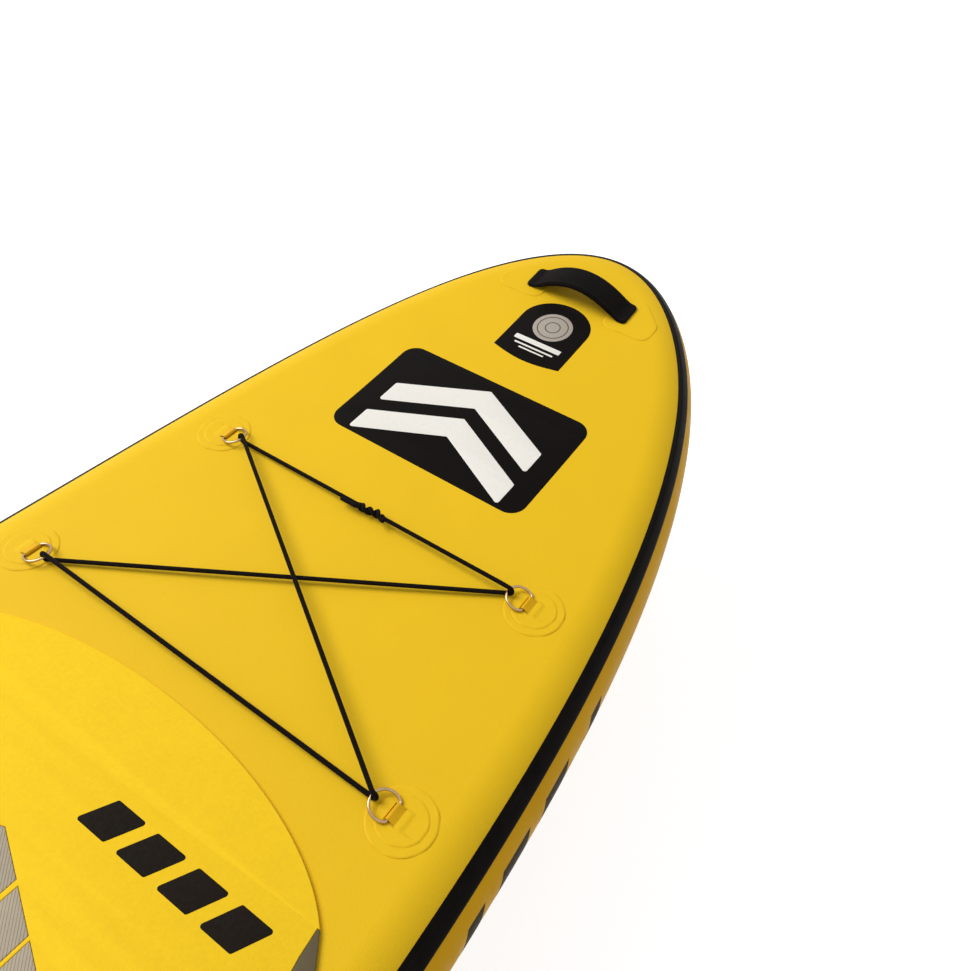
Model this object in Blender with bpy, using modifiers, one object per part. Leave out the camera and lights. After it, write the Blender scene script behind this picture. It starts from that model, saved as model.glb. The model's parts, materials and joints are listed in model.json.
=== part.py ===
"""Inflatable stand-up paddle board: drop-stitch hull, deck fittings, inflation valve and fins.

Metres, +Z up, +Y to the nose, +X to starboard. The origin is at mid-length, on the flat of the bottom.
"""

import math

import bmesh
import bpy
import numpy as np
from mathutils import Matrix, Vector

# Hull
LENGTH = 3.200
HALF_BEAM = 0.432
THICKNESS = 0.150
RAIL_DEPTH = 0.078
NOSE_RUN = 1.450
NOSE_POWER = 2.8
TAIL_RUN = 1.350
TAIL_POWER = 2.2
TAIL_SQUARENESS = 2.9
NOSE_ROCKER = 0.196
NOSE_ROCKER_RUN = 1.450
NOSE_ROCKER_POWER = 2.2
TAIL_KICK = 0.020
TAIL_KICK_RUN = 0.600
STATIONS = 40
STATION_CROWDING = 0.35

# Skins, tapes and the threads that hold the deck and the bottom together
SKIN = 0.0012
GAP = 0.0003
SEAM_ANGLE = math.radians(47.0)
SEAM_NOSE_LIFT = math.radians(8.0)
SEAM_LIFT_RUN = 0.300
TAPE_WIDTH = 0.025
TAPE = 0.0009
SHOULDER_STEPS = 3
WALL_STEPS = 6
CLOTH = 0.0006
CLOTH_MARGIN = 0.004
THREAD_RADIUS = 0.0022
THREAD_PITCH_X = 0.092
THREAD_PITCH_Y = 0.165

# Deck rings with their patches and straps
FRONT_RING_FROM_NOSE = 0.748
REAR_RING_FROM_NOSE = 1.066
FRONT_RING_INSET = 0.136
REAR_RING_INSET = 0.1263
LEASH_RING_FROM_TAIL = 0.120
PATCH_OFFSET = 0.012
PATCH_RADIUS = 0.040
PATCH = 0.0008
TOP_PATCH_RADIUS = 0.0295
TOP_PATCH_ROOF = 0.0006
RING_WIRE = 0.0018
RING_BOW_RADIUS = 0.0175
RING_REACH = 0.0290
RING_CORNER = 0.0030
RING_TILT = math.radians(12.8)
STRAP = 0.0008
STRAP_HALF_WIDTH = 0.0108
STRAP_TAIL = 0.0170
STRAP_RAMP = 0.0090
BAR_CLEARANCE = 0.0003
WINDOW_MARGIN = 0.0006

# Bungee cord and its knot
CORD_RADIUS = 0.0030
CORD_CLEARANCE = 0.0004
KNOT_CENTRE = 0.007
KNOT_LOBE = 0.0160
KNOT_CROSSING = 0.0130
KNOT_TURNS = 2
KNOT_SWAY = 0.0025
KNOT_TAIL = 0.034
KNOT_STUB = 0.006
KNOT_FLARE = 0.0020
HOOK_LEAD = 0.016

# Nose handle
NOSE_HANDLE_FROM_NOSE = 0.162
NOSE_HANDLE_LENGTH = 0.194
NOSE_HANDLE_FOOT = 0.013
NOSE_HANDLE_RISE = 0.0315
NOSE_HANDLE_ARCH = 1.10
NOSE_HANDLE_STRAP_WIDTH = 0.046
NOSE_HANDLE_GRIP_WIDTH = 0.0505
NOSE_HANDLE_PATCH_X = 0.088
NOSE_HANDLE_PATCH_Y = 0.086
NOSE_HANDLE_PATCH_OVERHANG = 0.053
NOSE_HANDLE_PATCH_CUT = 0.042

# Carry handle
CARRY_HANDLE_Y = -0.030
CARRY_HANDLE_LENGTH = 0.270
CARRY_HANDLE_FOOT = 0.045
CARRY_HANDLE_RISE = 0.034
CARRY_HANDLE_ARCH = 1.30
CARRY_HANDLE_STRAP_WIDTH = 0.038
CARRY_HANDLE_GRIP_WIDTH = 0.046
CARRY_HANDLE_PATCH_X = 0.090
CARRY_HANDLE_PATCH_Y = 0.070
CARRY_HANDLE_PATCH_OVERHANG = 0.012

# Handle webbing and padding
WEBBING = 0.0025
GRIP_THICKNESS = 0.0100
GRIP_END_THICKNESS = 0.0060
GRIP_END_MARGIN = 0.0040
HANDLE_STEPS = 12
HANDLE_PATCH = 0.0010
HANDLE_PATCH_CORNER = 0.018

# Traction pad
PAD_FROM_NOSE = 1.110
PAD_NOSE_CURVE = 0.145
PAD_MARGIN = 0.009
PAD_FROM_TAIL = 0.330
PAD_TAIL_CURVE = 0.110
PAD_THICKNESS = 0.0045
PAD_EDGE_BEVEL = 0.0015
PAD_CUTOUT_MARGIN = 0.010
ACCENT_SETBACK = 0.090
ACCENT_END = 0.004
ACCENT_FROM_TAIL = 0.560
ACCENT_WIDTH = 0.020
ACCENT_TAPER = 0.030
CHEVRON_SETBACK = 0.202
CHEVRON_SLOPE = 0.46
CHEVRON_HALF_WIDTH = 0.0545
CHEVRON_LENGTH = 0.120
INNER_BAR = (0.0615, 0.1080)
OUTER_BAR = (0.1130, 0.1560)
BAR_FROM_TAIL = 0.700

# Inflation valve
VALVE_X = 0.140
VALVE_FROM_TAIL = 0.230
VALVE_FLANGE_RADIUS = 0.0290
VALVE_FLANGE = 0.0028
VALVE_STEM_RADIUS = 0.0200
VALVE_BORE_RADIUS = 0.0160
VALVE_DEPTH = 0.0240
VALVE_LIP = 0.0030
VALVE_NUT_RADIUS = 0.0300
VALVE_NUT = 0.0070
VALVE_HUB_RADIUS = 0.0055
VALVE_HUB = 0.0030
VALVE_HUB_DROP = 0.0150
VALVE_SPOKE = 0.0026
PLUNGER_STEM_RADIUS = 0.0028
PLUNGER_BUTTON_RADIUS = 0.0055
PLUNGER_BUTTON = 0.0020
PLUNGER_SEAL_RADIUS = 0.0175
PLUNGER_SEAL = 0.0030
PLUNGER_BUTTON_DROP = 0.0060
SPRING_WIRE = 0.0005
SPRING_TURNS = 3
SPRING_RADIUS = 0.0042
CAP_RADIUS = 0.0245
CAP_HEIGHT = 0.0080
CAP_PLUG_RADIUS = 0.0130
CAP_PLUG = 0.0030
CAP_NECK_RADIUS = 0.0190
CAP_GRIP_HEIGHT = 0.0055
CAP_GRIP_WIDTH = 0.0070
TETHER = 0.0016
TETHER_RING_RADIUS = 0.0235
TETHER_WIDTH = 0.0090
TETHER_HINGE_REACH = 0.0345
TETHER_PIN_RADIUS = 0.0010
TETHER_EYE_RADIUS = 0.0022
TETHER_CHEEK = 0.0018

# Fin box and fins
FIN_BOX_FROM_TAIL = 0.300
FIN_BOX_LENGTH = 0.262
FIN_BOX_WIDTH = 0.034
FIN_BOX_HEIGHT = 0.026
FIN_BOX_FLARE = 0.016
FIN_BOX_FLANGE = 0.003
SLOT_LENGTH = 0.236
SLOT_WIDTH = 0.0089
SLOT_DEPTH = 0.0230
SLOT_ENTRY = 0.0140
SLOT_STEP = 0.0005
CHANNEL_WIDTH = 0.0146
CHANNEL_TOP = 0.0135
CHANNEL_FLOOR = 0.0080
FIN_TAB_LENGTH = 0.150
FIN_TAB = 0.0083
FIN_TAB_HEIGHT = 0.0215
FIN_DEPTH = 0.205
FIN_TIP_CHORD = 0.030
FIN_SWEEP = 0.098
FIN_ROOT = 0.0078
FIN_TONGUE = 0.022
FIN_TONGUE_THICKNESS = 0.0040
FIN_PIN_RADIUS = 0.0020
FIN_PIN_LENGTH = 0.0136
FIN_PIN_FROM_END = 0.010
FIN_SET_FORWARD = -0.010
NUT_LENGTH = 0.0160
NUT_WIDTH = 0.0134
NUT = 0.0030
SCREW_RADIUS = 0.0020
SCREW_HEAD_RADIUS = 0.0080
SCREW_HEAD = 0.0060
SCREW_CLEARANCE = 0.0003
SIDE_FIN_X = 0.150
SIDE_FIN_FROM_TAIL = 0.400
SIDE_FIN_BASE_LENGTH = 0.150
SIDE_FIN_BASE_WIDTH = 0.046
SIDE_FIN_BASE = 0.0030
SIDE_FIN_CHORD = 0.110
SIDE_FIN_TIP_CHORD = 0.024
SIDE_FIN_DEPTH = 0.110
SIDE_FIN_SWEEP = 0.058
SIDE_FIN_ROOT = 0.0070
SIDE_FIN_TOE = math.radians(2.5)

COLOURS = {
    "deck yellow": ((0.82, 0.53, 0.030), 0.45, 0.0),
    "rail yellow": ((0.78, 0.48, 0.028), 0.45, 0.0),
    "tape black": ((0.012, 0.010, 0.012), 0.35, 0.0),
    "thread white": ((0.75, 0.74, 0.70), 0.80, 0.0),
    "webbing black": ((0.010, 0.009, 0.010), 0.75, 0.0),
    "neoprene black": ((0.014, 0.012, 0.014), 0.60, 0.0),
    "foam yellow": ((0.90, 0.60, 0.035), 0.85, 0.0),
    "foam light grey": ((0.46, 0.38, 0.28), 0.88, 0.0),
    "foam dark grey": ((0.135, 0.107, 0.062), 0.88, 0.0),
    "stainless": ((0.70, 0.68, 0.64), 0.22, 1.0),
    "cord black": ((0.012, 0.010, 0.011), 0.65, 0.0),
    "valve grey": ((0.045, 0.045, 0.050), 0.45, 0.0),
    "valve rubber": ((0.020, 0.020, 0.020), 0.80, 0.0),
    "fin black": ((0.018, 0.018, 0.020), 0.38, 0.0),
    "brass": ((0.72, 0.52, 0.20), 0.30, 1.0),
}


def start_scene():
    """Empties the scene and returns the collections for the parts and for the cutters."""
    for item in list(bpy.data.objects):
        bpy.data.objects.remove(item)
    parts = bpy.data.collections.new("stand_up_paddle_board")
    cutters = bpy.data.collections.new("cutters")
    bpy.context.scene.collection.children.link(parts)
    bpy.context.scene.collection.children.link(cutters)
    return parts, cutters


PARTS, CUTTERS = start_scene()


def material(name):
    """The named finish as a Principled material, made on first use."""
    found = bpy.data.materials.get(name)
    if found:
        return found
    colour, roughness, metallic = COLOURS[name]
    made = bpy.data.materials.new(name)
    made.use_nodes = True
    shader = made.node_tree.nodes["Principled BSDF"]
    shader.inputs["Base Color"].default_value = (*colour, 1.0)
    shader.inputs["Roughness"].default_value = roughness
    shader.inputs["Metallic"].default_value = metallic
    return made


def add_part(name, data, finish, place=None):
    """Links a mesh or a curve as one sub-part, with its finish and its place."""
    part = bpy.data.objects.new(name, data)
    data.materials.append(material(finish))
    PARTS.objects.link(part)
    if place is not None:
        part.matrix_world = place
    return part


def add_cutter(name, data, place=None):
    """Links a mesh that only cuts or joins another, drawn as wire."""
    cutter = bpy.data.objects.new(name, data)
    cutter.hide_render = True
    cutter.display_type = "WIRE"
    CUTTERS.objects.link(cutter)
    if place is not None:
        cutter.matrix_world = place
    return cutter


def mesh_from(bm, name, sharp_degrees=35.0):
    """Turns a bmesh into a smooth-shaded mesh with sharp edges kept."""
    data = bpy.data.meshes.new(name)
    bm.to_mesh(data)
    bm.free()
    data.shade_smooth()
    data.set_sharp_from_angle(angle=math.radians(sharp_degrees))
    return data


def boolean(part, other, operation):
    """Adds an exact Boolean modifier."""
    cut = part.modifiers.new(other.name, "BOOLEAN")
    cut.operation = operation
    cut.object = other
    cut.solver = "EXACT"
    return cut


def loft(sections, closed=True, caps=True):
    """Faces between like-numbered points of successive sections."""
    bm = bmesh.new()
    rows = [[bm.verts.new(point) for point in section] for section in sections]
    count = len(rows[0])
    last = count if closed else count - 1
    for row, following in zip(rows, rows[1:]):
        for k in range(last):
            j = (k + 1) % count
            bm.faces.new((row[k], row[j], following[j], following[k]))
    if caps:
        bm.faces.new(list(reversed(rows[0])))
        bm.faces.new(rows[-1])
    bmesh.ops.remove_doubles(bm, verts=bm.verts, dist=1e-6)
    if caps:
        bmesh.ops.recalc_face_normals(bm, faces=bm.faces)
    return bm


def sleeve(outer, inner):
    """A tube with a bore: two lofts joined by a ring of faces at each end."""
    bm = bmesh.new()
    skins = [[[bm.verts.new(p) for p in section] for section in side] for side in (outer, inner)]
    count = len(outer[0])
    for rows in skins:
        for row, following in zip(rows, rows[1:]):
            for k in range(count):
                j = (k + 1) % count
                bm.faces.new((row[k], row[j], following[j], following[k]))
    for end in (0, -1):
        for k in range(count):
            j = (k + 1) % count
            bm.faces.new((skins[0][end][k], skins[0][end][j], skins[1][end][j], skins[1][end][k]))
    bmesh.ops.recalc_face_normals(bm, faces=bm.faces)
    return bm


def box_mesh(name, low, high):
    """A box between two corners."""
    bm = bmesh.new()
    size = [b - a for a, b in zip(low, high)]
    middle = [(a + b) / 2 for a, b in zip(low, high)]
    bmesh.ops.create_cube(bm, size=1.0)
    bmesh.ops.scale(bm, vec=size, verts=bm.verts)
    bmesh.ops.translate(bm, vec=middle, verts=bm.verts)
    return mesh_from(bm, name)


def cylinder_mesh(name, radius, low, high, segments=24):
    """An upright cylinder from z low to z high."""
    bm = bmesh.new()
    bmesh.ops.create_cone(
        bm, cap_ends=True, segments=segments, radius1=radius, radius2=radius, depth=high - low
    )
    bmesh.ops.translate(bm, vec=(0.0, 0.0, (low + high) / 2), verts=bm.verts)
    return mesh_from(bm, name)


def turned(name, profile, finish, place, steps=24, ring=True):
    """A turned solid: a profile of (radius, height) points with a Screw modifier."""
    data = bpy.data.meshes.new(name)
    edges = [(k, k + 1) for k in range(len(profile) - 1)]
    if ring:
        edges.append((len(profile) - 1, 0))
    data.from_pydata([(r, 0.0, z) for r, z in profile], edges, [])
    part = add_part(name, data, finish, place)
    screw = part.modifiers.new("turn", "SCREW")
    screw.axis = "Z"
    screw.steps = steps
    screw.render_steps = steps
    screw.use_merge_vertices = True
    screw.merge_threshold = 0.00001
    screw.use_smooth_shade = True
    return part


def rounded_rectangle(half_width, half_height, corner, steps=2):
    """Corner arcs of a rectangle about the origin, anticlockwise."""
    points = []
    corners = ((1, 1, 0.0), (-1, 1, 90.0), (-1, -1, 180.0), (1, -1, 270.0))
    for side_x, side_y, start in corners:
        for k in range(steps + 1):
            angle = math.radians(start + 90.0 * k / steps)
            points.append(
                (
                    side_x * (half_width - corner) + corner * math.cos(angle),
                    side_y * (half_height - corner) + corner * math.sin(angle),
                )
            )
    return points


def rounded_polygon(corners, radius, steps=3):
    """The outline of a convex polygon with its corners rounded, in the order given."""
    points = []
    count = len(corners)
    for k in range(count):
        here = Vector(corners[k])
        before = (Vector(corners[k - 1]) - here).normalized()
        after = (Vector(corners[(k + 1) % count]) - here).normalized()
        half = before.angle(after) / 2
        centre = here + (before + after).normalized() * (radius / math.sin(half))
        start = here + before * (radius / math.tan(half)) - centre
        finish = here + after * (radius / math.tan(half)) - centre
        for i in range(steps + 1):
            points.append(centre + start.slerp(finish, i / steps).normalized() * radius)
    return [(point.x, point.y) for point in points]


def rocker(y):
    """Height of the bottom over the flat: the lift of the nose and the kick of the tail."""
    nose = np.clip((y - (LENGTH / 2 - NOSE_ROCKER_RUN)) / NOSE_ROCKER_RUN, 0.0, None)
    tail = np.clip((-y - (LENGTH / 2 - TAIL_KICK_RUN)) / TAIL_KICK_RUN, 0.0, None)
    return NOSE_ROCKER * nose**NOSE_ROCKER_POWER + TAIL_KICK * tail**2


def plan_outline():
    """Points and outward normals of the starboard outline, nose to tail, closer where it turns."""
    turn = np.linspace(0.0, math.pi / 2, 241)
    back = turn[::-1]
    nose_x = HALF_BEAM * np.sin(turn)
    nose_y = LENGTH / 2 - NOSE_RUN * (1 - np.clip(np.cos(turn), 0, 1) ** (2 / NOSE_POWER))
    tail_x = HALF_BEAM * np.sin(back) ** (2 / TAIL_SQUARENESS)
    tail_y = -LENGTH / 2 + TAIL_RUN * (1 - np.clip(np.cos(back), 0, 1) ** (2 / TAIL_POWER))
    line = np.stack([np.concatenate([nose_x, tail_x]), np.concatenate([nose_y, tail_y])], 1)
    step = np.diff(line, axis=0)
    length = np.linalg.norm(step, axis=1)
    heading = np.unwrap(np.arctan2(step[:, 1], step[:, 0]))
    side = np.stack([-step[:, 1], step[:, 0]], 1) / length[:, None]
    normal = np.concatenate([[[0.0, 1.0]], (side[:-1] + side[1:]) / 2, [[0.0, -1.0]]])
    bend = np.concatenate([[0.0], np.abs(np.diff(heading))])
    travel = np.concatenate([[0.0], np.cumsum(length + STATION_CROWDING * bend)])
    wanted = np.linspace(0.0, travel[-1], STATIONS + 1)
    points = np.stack([np.interp(wanted, travel, line[:, k]) for k in (0, 1)], 1)
    normals = np.stack([np.interp(wanted, travel, normal[:, k]) for k in (0, 1)], 1)
    normals /= np.linalg.norm(normals, axis=1)[:, None]
    return points, normals


OUTLINE, NORMALS = plan_outline()
NEAR_NOSE = np.clip(1 - (LENGTH / 2 - OUTLINE[:, 1]) / SEAM_LIFT_RUN, 0.0, 1.0)
SEAM = SEAM_ANGLE + SEAM_NOSE_LIFT * NEAR_NOSE**2 * (3 - 2 * NEAR_NOSE)


def half_beam(y):
    """Half the beam of the outline at y."""
    return float(np.interp(-y, -OUTLINE[:, 1], OUTLINE[:, 0]))


def rail_points(angle, grow=0.0):
    """One line along the rounded rail at an angle over the horizontal, nose to tail.

    The angle is one number, or one for each station of the outline.
    """
    reach = (RAIL_DEPTH + grow) * np.cos(angle) - RAIL_DEPTH
    x = OUTLINE[:, 0] + NORMALS[:, 0] * reach
    y = OUTLINE[:, 1] + NORMALS[:, 1] * reach
    z = THICKNESS / 2 + (THICKNESS / 2 + grow) * np.sin(angle) + rocker(y)
    return np.stack([x, y, z], 1)


DECK_EDGE = rail_points(math.pi / 2)
KINKS = DECK_EDGE[::-1, 1]


def deck_height(y):
    """Height of the deck's top face at y; the deck is level across."""
    return float(np.interp(y, KINKS, DECK_EDGE[::-1, 2]))


def bottom_height(y):
    """Height of the bottom's lower face at y."""
    return deck_height(y) - THICKNESS


def flat_half_width(y):
    """Half the width of the level part of the deck at y."""
    return float(np.interp(y, KINKS, DECK_EDGE[::-1, 0]))


def creases(low, high):
    """Stations between two places at which the slope of the deck changes."""
    found = []
    for before, kink, after in zip(KINKS, KINKS[1:], KINKS[2:]):
        first = (deck_height(kink) - deck_height(before)) / (kink - before)
        second = (deck_height(after) - deck_height(kink)) / (after - kink)
        if low + 1e-4 < kink < high - 1e-4 and abs(second - first) > 1e-5:
            found.append(float(kink))
    return found


def crease(bm):
    """Cuts a mesh across at each crease of the deck."""
    for kink in creases(min(v.co.y for v in bm.verts), max(v.co.y for v in bm.verts)):
        everything = list(bm.verts) + list(bm.edges) + list(bm.faces)
        bmesh.ops.bisect_plane(
            bm, geom=everything, dist=1e-7, plane_co=(0.0, kink, 0.0), plane_no=(0.0, 1.0, 0.0)
        )


def drape(bm, height):
    """Lays a level mesh on the hull, creased where the hull is creased."""
    crease(bm)
    for vert in bm.verts:
        vert.co.z += height(vert.co.y)
    return bm


def seat(x, y, reach, height=deck_height):
    """Place of a stiff piece on the hull: on the chord of the surface over reach each way."""
    back = height(y - reach)
    front = height(y + reach)
    slope = math.atan2(front - back, 2 * reach)
    return Matrix.Translation((x, y, (front + back) / 2)) @ Matrix.Rotation(slope, 4, "X")


def build_panel(name, side, finish):
    """The deck (side 1) or bottom (side -1) skin, out to its seam on the rounded rail."""
    edge = SEAM + GAP / RAIL_DEPTH
    angles = [math.pi / 2 + (edge - math.pi / 2) * k / SHOULDER_STEPS for k in range(SHOULDER_STEPS + 1)]
    outer = [rail_points(side * angle) for angle in angles]
    inner = [rail_points(side * angle, -SKIN) for angle in angles]
    centre = [line[0].copy() for line in (outer, inner)]
    for line in centre:
        line[:, 0] = 0.0
    lines = [centre[0]] + outer + inner[::-1] + [centre[1]]
    if side > 0:
        lines = lines[::-1]
    sections = [[Vector(line[k]) for line in lines] for k in range(STATIONS + 1)]
    bm = loft(sections, closed=False, caps=False)
    part = add_part(name, mesh_from(bm, name), finish)
    mirror = part.modifiers.new("other side", "MIRROR")
    mirror.merge_threshold = 0.00001
    mirror.use_clip = True
    return part


def build_rail_strip(name, mirror_side, angles, low, high, finish):
    """A strip round one side of the hull between two offsets, from stem to stern."""
    outer = [rail_points(angle, high) for angle in angles]
    inner = [rail_points(angle, low) for angle in angles]
    lines = outer + inner[::-1]
    sections = []
    for k in range(STATIONS + 1):
        section = [Vector(line[k]) for line in lines]
        for point in section:
            point.x = mirror_side * max(point.x, GAP / 2)
        sections.append(section)
    return add_part(name, mesh_from(loft(sections), name), finish)


def build_hull():
    """Skins, side walls, seam tapes and the stitched core."""
    deck = build_panel("deck_panel", 1, "deck yellow")
    build_panel("bottom_panel", -1, "rail yellow")
    wall = [SEAM * (1 - 2 * k / WALL_STEPS) for k in range(WALL_STEPS + 1)]
    wall[0] -= GAP / RAIL_DEPTH
    wall[-1] += GAP / RAIL_DEPTH
    half_tape = TAPE_WIDTH / 2 / RAIL_DEPTH
    tape = [SEAM + half_tape, SEAM, SEAM - half_tape]
    for label, side in (("port", -1), ("starboard", 1)):
        build_rail_strip("sidewall_" + label, side, wall, -SKIN, 0.0, "rail yellow")
        build_rail_strip("seam_tape_upper_" + label, side, tape, GAP, GAP + TAPE, "tape black")
        lower = [-angle for angle in tape]
        build_rail_strip("seam_tape_lower_" + label, side, lower, GAP, GAP + TAPE, "tape black")
    build_core()
    return deck


def build_core():
    """The stitched core: threads standing from a base cloth up to the deck skin."""
    low = SKIN + GAP
    high = low + CLOTH
    sections = []
    for x, y, z in DECK_EDGE[1:-1]:
        width = x - CLOTH_MARGIN
        base = z - THICKNESS
        sections.append(
            [
                Vector((-width, y, base + low)),
                Vector((width, y, base + low)),
                Vector((width, y, base + high)),
                Vector((-width, y, base + high)),
            ]
        )
    core = add_part("drop_stitch_core", mesh_from(loft(sections), "drop_stitch_core"), "thread white")
    threads = bmesh.new()
    bottom = low + CLOTH / 2
    top = THICKNESS - SKIN - GAP
    rows = int((LENGTH / 2 - RAIL_DEPTH) / THREAD_PITCH_Y)
    valve = Vector((VALVE_X, VALVE_FROM_TAIL - LENGTH / 2))
    for row in range(-rows, rows + 1):
        y = row * THREAD_PITCH_Y
        spare = flat_half_width(y) - CLOTH_MARGIN - 3 * THREAD_RADIUS
        shift = THREAD_PITCH_X / 2 if row % 2 else 0.0
        across = int((HALF_BEAM + shift) / THREAD_PITCH_X)
        for column in range(-across, across + 1):
            x = column * THREAD_PITCH_X + shift
            near_valve = (Vector((x, y)) - valve).length < VALVE_NUT_RADIUS + 4 * THREAD_RADIUS
            if abs(x) > spare or near_valve:
                continue
            made = bmesh.ops.create_cone(
                threads, cap_ends=True, segments=3, radius1=THREAD_RADIUS, radius2=THREAD_RADIUS,
                depth=top - bottom,
            )
            bmesh.ops.translate(threads, vec=(x, y, (top + bottom) / 2), verts=made["verts"])
    for vert in threads.verts:
        vert.co.z += bottom_height(vert.co.y)
    boolean(core, add_cutter("core_threads", mesh_from(threads, "core_threads")), "UNION")


BASE_TOP = GAP + PATCH
STRAP_LOW = BASE_TOP + GAP
BAR_HEIGHT = STRAP_LOW + STRAP + BAR_CLEARANCE + RING_WIRE
POCKET_TOP = STRAP_LOW + STRAP + GAP
TOP_PATCH_TOP = POCKET_TOP + TOP_PATCH_ROOF


def disc(radius, low, high, segments=28):
    """A level disc about the origin, slightly smaller at its top edge."""
    bm = bmesh.new()
    bmesh.ops.create_cone(
        bm, cap_ends=True, segments=segments, radius1=radius, radius2=radius - (high - low) / 3,
        depth=high - low,
    )
    bmesh.ops.translate(bm, vec=(0.0, 0.0, (low + high) / 2), verts=bm.verts)
    return bm


def ring_place(x, y, heading):
    """Axes of a ring set: +X the way the ring points, +Y along its bar, +Z off the deck."""
    return seat(x, y, RING_BOW_RADIUS) @ Matrix.Rotation(heading, 4, "Z")


def build_patch(name, place, radius, low, high):
    """A round patch on the deck under a ring, its centre behind the ring's bar."""
    centre = place @ Vector((-PATCH_OFFSET, 0.0, 0.0))
    bm = disc(radius, low, high)
    bmesh.ops.translate(bm, vec=(centre.x, centre.y, 0.0), verts=bm.verts)
    return add_part(name, mesh_from(drape(bm, deck_height), name), "deck yellow")


def ring_points():
    """Centre line of a ring: a straight bar at the origin and a bow of well over half a circle."""
    centre = RING_REACH - RING_BOW_RADIUS
    corner_y = math.sqrt((RING_BOW_RADIUS - RING_CORNER) ** 2 - (RING_CORNER - centre) ** 2)
    meet = math.atan2(corner_y, RING_CORNER - centre)
    points = []
    for side in (-1, 1):
        turns = [math.pi + (meet - math.pi) * k / 3 for k in range(4)]
        if side < 0:
            turns = turns[::-1]
        for angle in turns:
            across = corner_y + RING_CORNER * math.sin(angle)
            points.append((RING_CORNER + RING_CORNER * math.cos(angle), side * across))
    for k in range(1, 14):
        angle = meet * (1 - 2 * k / 14)
        points.append((centre + RING_BOW_RADIUS * math.cos(angle), RING_BOW_RADIUS * math.sin(angle)))
    return points


def wire(name, points, radius, finish, place=None, resolution=2, cyclic=False):
    """A round wire or cord along points."""
    curve = bpy.data.curves.new(name, "CURVE")
    curve.dimensions = "3D"
    curve.bevel_depth = radius
    curve.bevel_resolution = resolution
    curve.use_fill_caps = not cyclic
    spline = curve.splines.new("POLY")
    spline.points.add(len(points) - 1)
    for item, point in zip(spline.points, points):
        item.co = (*point, 1.0)
    spline.use_cyclic_u = cyclic
    spline.use_smooth = True
    return add_part(name, curve, finish, place)


def flat_outline(name, loops, half_thickness):
    """A 2D curve with straight-sided outlines, filled and extruded both ways."""
    curve = bpy.data.curves.new(name, "CURVE")
    curve.dimensions = "2D"
    curve.fill_mode = "BOTH"
    curve.extrude = half_thickness
    for loop in loops:
        spline = curve.splines.new("POLY")
        spline.points.add(len(loop) - 1)
        for item, (a, b) in zip(spline.points, loop):
            item.co = (a, b, 0.0, 1.0)
        spline.use_cyclic_u = True
    return curve


def strap_loops():
    """Side view of a strap: a teardrop round the ring's bar and a tail under the top patch."""
    reach = RING_WIRE + BAR_CLEARANCE
    outer = reach + STRAP
    tail_top = STRAP_LOW + STRAP
    rise = BAR_HEIGHT - tail_top
    lean = math.atan2(rise, STRAP_RAMP) + math.asin(outer / math.hypot(STRAP_RAMP, rise))
    sweep = lean + math.pi
    loop = [(-STRAP_TAIL, STRAP_LOW), (0.0, STRAP_LOW)]
    bore = [(-STRAP_RAMP + STRAP / math.sin(lean), tail_top)]
    for k in range(1, 11):
        angle = sweep * k / 10 - math.pi / 2
        loop.append((outer * math.cos(angle), BAR_HEIGHT + outer * math.sin(angle)))
    for k in range(11):
        angle = sweep * (1 - k / 10) - math.pi / 2
        bore.append((reach * math.cos(angle), BAR_HEIGHT + reach * math.sin(angle)))
    loop += [(-STRAP_RAMP, tail_top), (-STRAP_TAIL, tail_top)]
    return loop, bore


def build_ring_set(stem, x, y, heading):
    """A ring in its strap on a two-layer round patch. Returns the ring's own place."""
    place = ring_place(x, y, heading)
    build_patch(stem + "_patch_base", place, PATCH_RADIUS, GAP, BASE_TOP)
    top = build_patch(stem + "_patch_top", place, TOP_PATCH_RADIUS, STRAP_LOW, TOP_PATCH_TOP)
    fore = RING_WIRE + BAR_CLEARANCE + 2 * STRAP + WINDOW_MARGIN
    aft = STRAP_RAMP + WINDOW_MARGIN
    half = RING_BOW_RADIUS + RING_WIRE
    opening = box_mesh(stem + "_window", (-aft, -half, 0.0), (fore, half, 3 * TOP_PATCH_TOP))
    boolean(top, add_cutter(stem + "_window", opening, place), "DIFFERENCE")
    pocket_half = STRAP_HALF_WIDTH + WINDOW_MARGIN
    pocket = box_mesh(
        stem + "_pocket", (-STRAP_TAIL - WINDOW_MARGIN, -pocket_half, 0.0), (0.0, pocket_half, POCKET_TOP)
    )
    boolean(top, add_cutter(stem + "_pocket", pocket, place), "DIFFERENCE")
    upright = place @ Matrix.Rotation(math.pi / 2, 4, "X")
    strap = flat_outline(stem + "_strap", strap_loops(), STRAP_HALF_WIDTH)
    add_part(stem + "_strap", strap, "deck yellow", upright)
    bar = place @ Matrix.Translation((0.0, 0.0, BAR_HEIGHT)) @ Matrix.Rotation(-RING_TILT, 4, "Y")
    points = [(a, b, 0.0) for a, b in ring_points()]
    wire(stem + "_ring", points, RING_WIRE, "stainless", bar, cyclic=True)
    return bar


def ring_stations():
    """Name, bar centre and heading of each deck ring; a heading of 0 points to starboard."""
    front = LENGTH / 2 - FRONT_RING_FROM_NOSE
    rear = LENGTH / 2 - REAR_RING_FROM_NOSE
    front_x = half_beam(front) - FRONT_RING_INSET
    rear_x = half_beam(rear) - REAR_RING_INSET
    return (
        ("front_port", -front_x, front, 0.0),
        ("front_starboard", front_x, front, math.pi),
        ("rear_port", -rear_x, rear, 0.0),
        ("rear_starboard", rear_x, rear, math.pi),
    )


HOOK = RING_WIRE + CORD_RADIUS + CORD_CLEARANCE
TWIST = 2 * CORD_RADIUS + 0.0005


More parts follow.
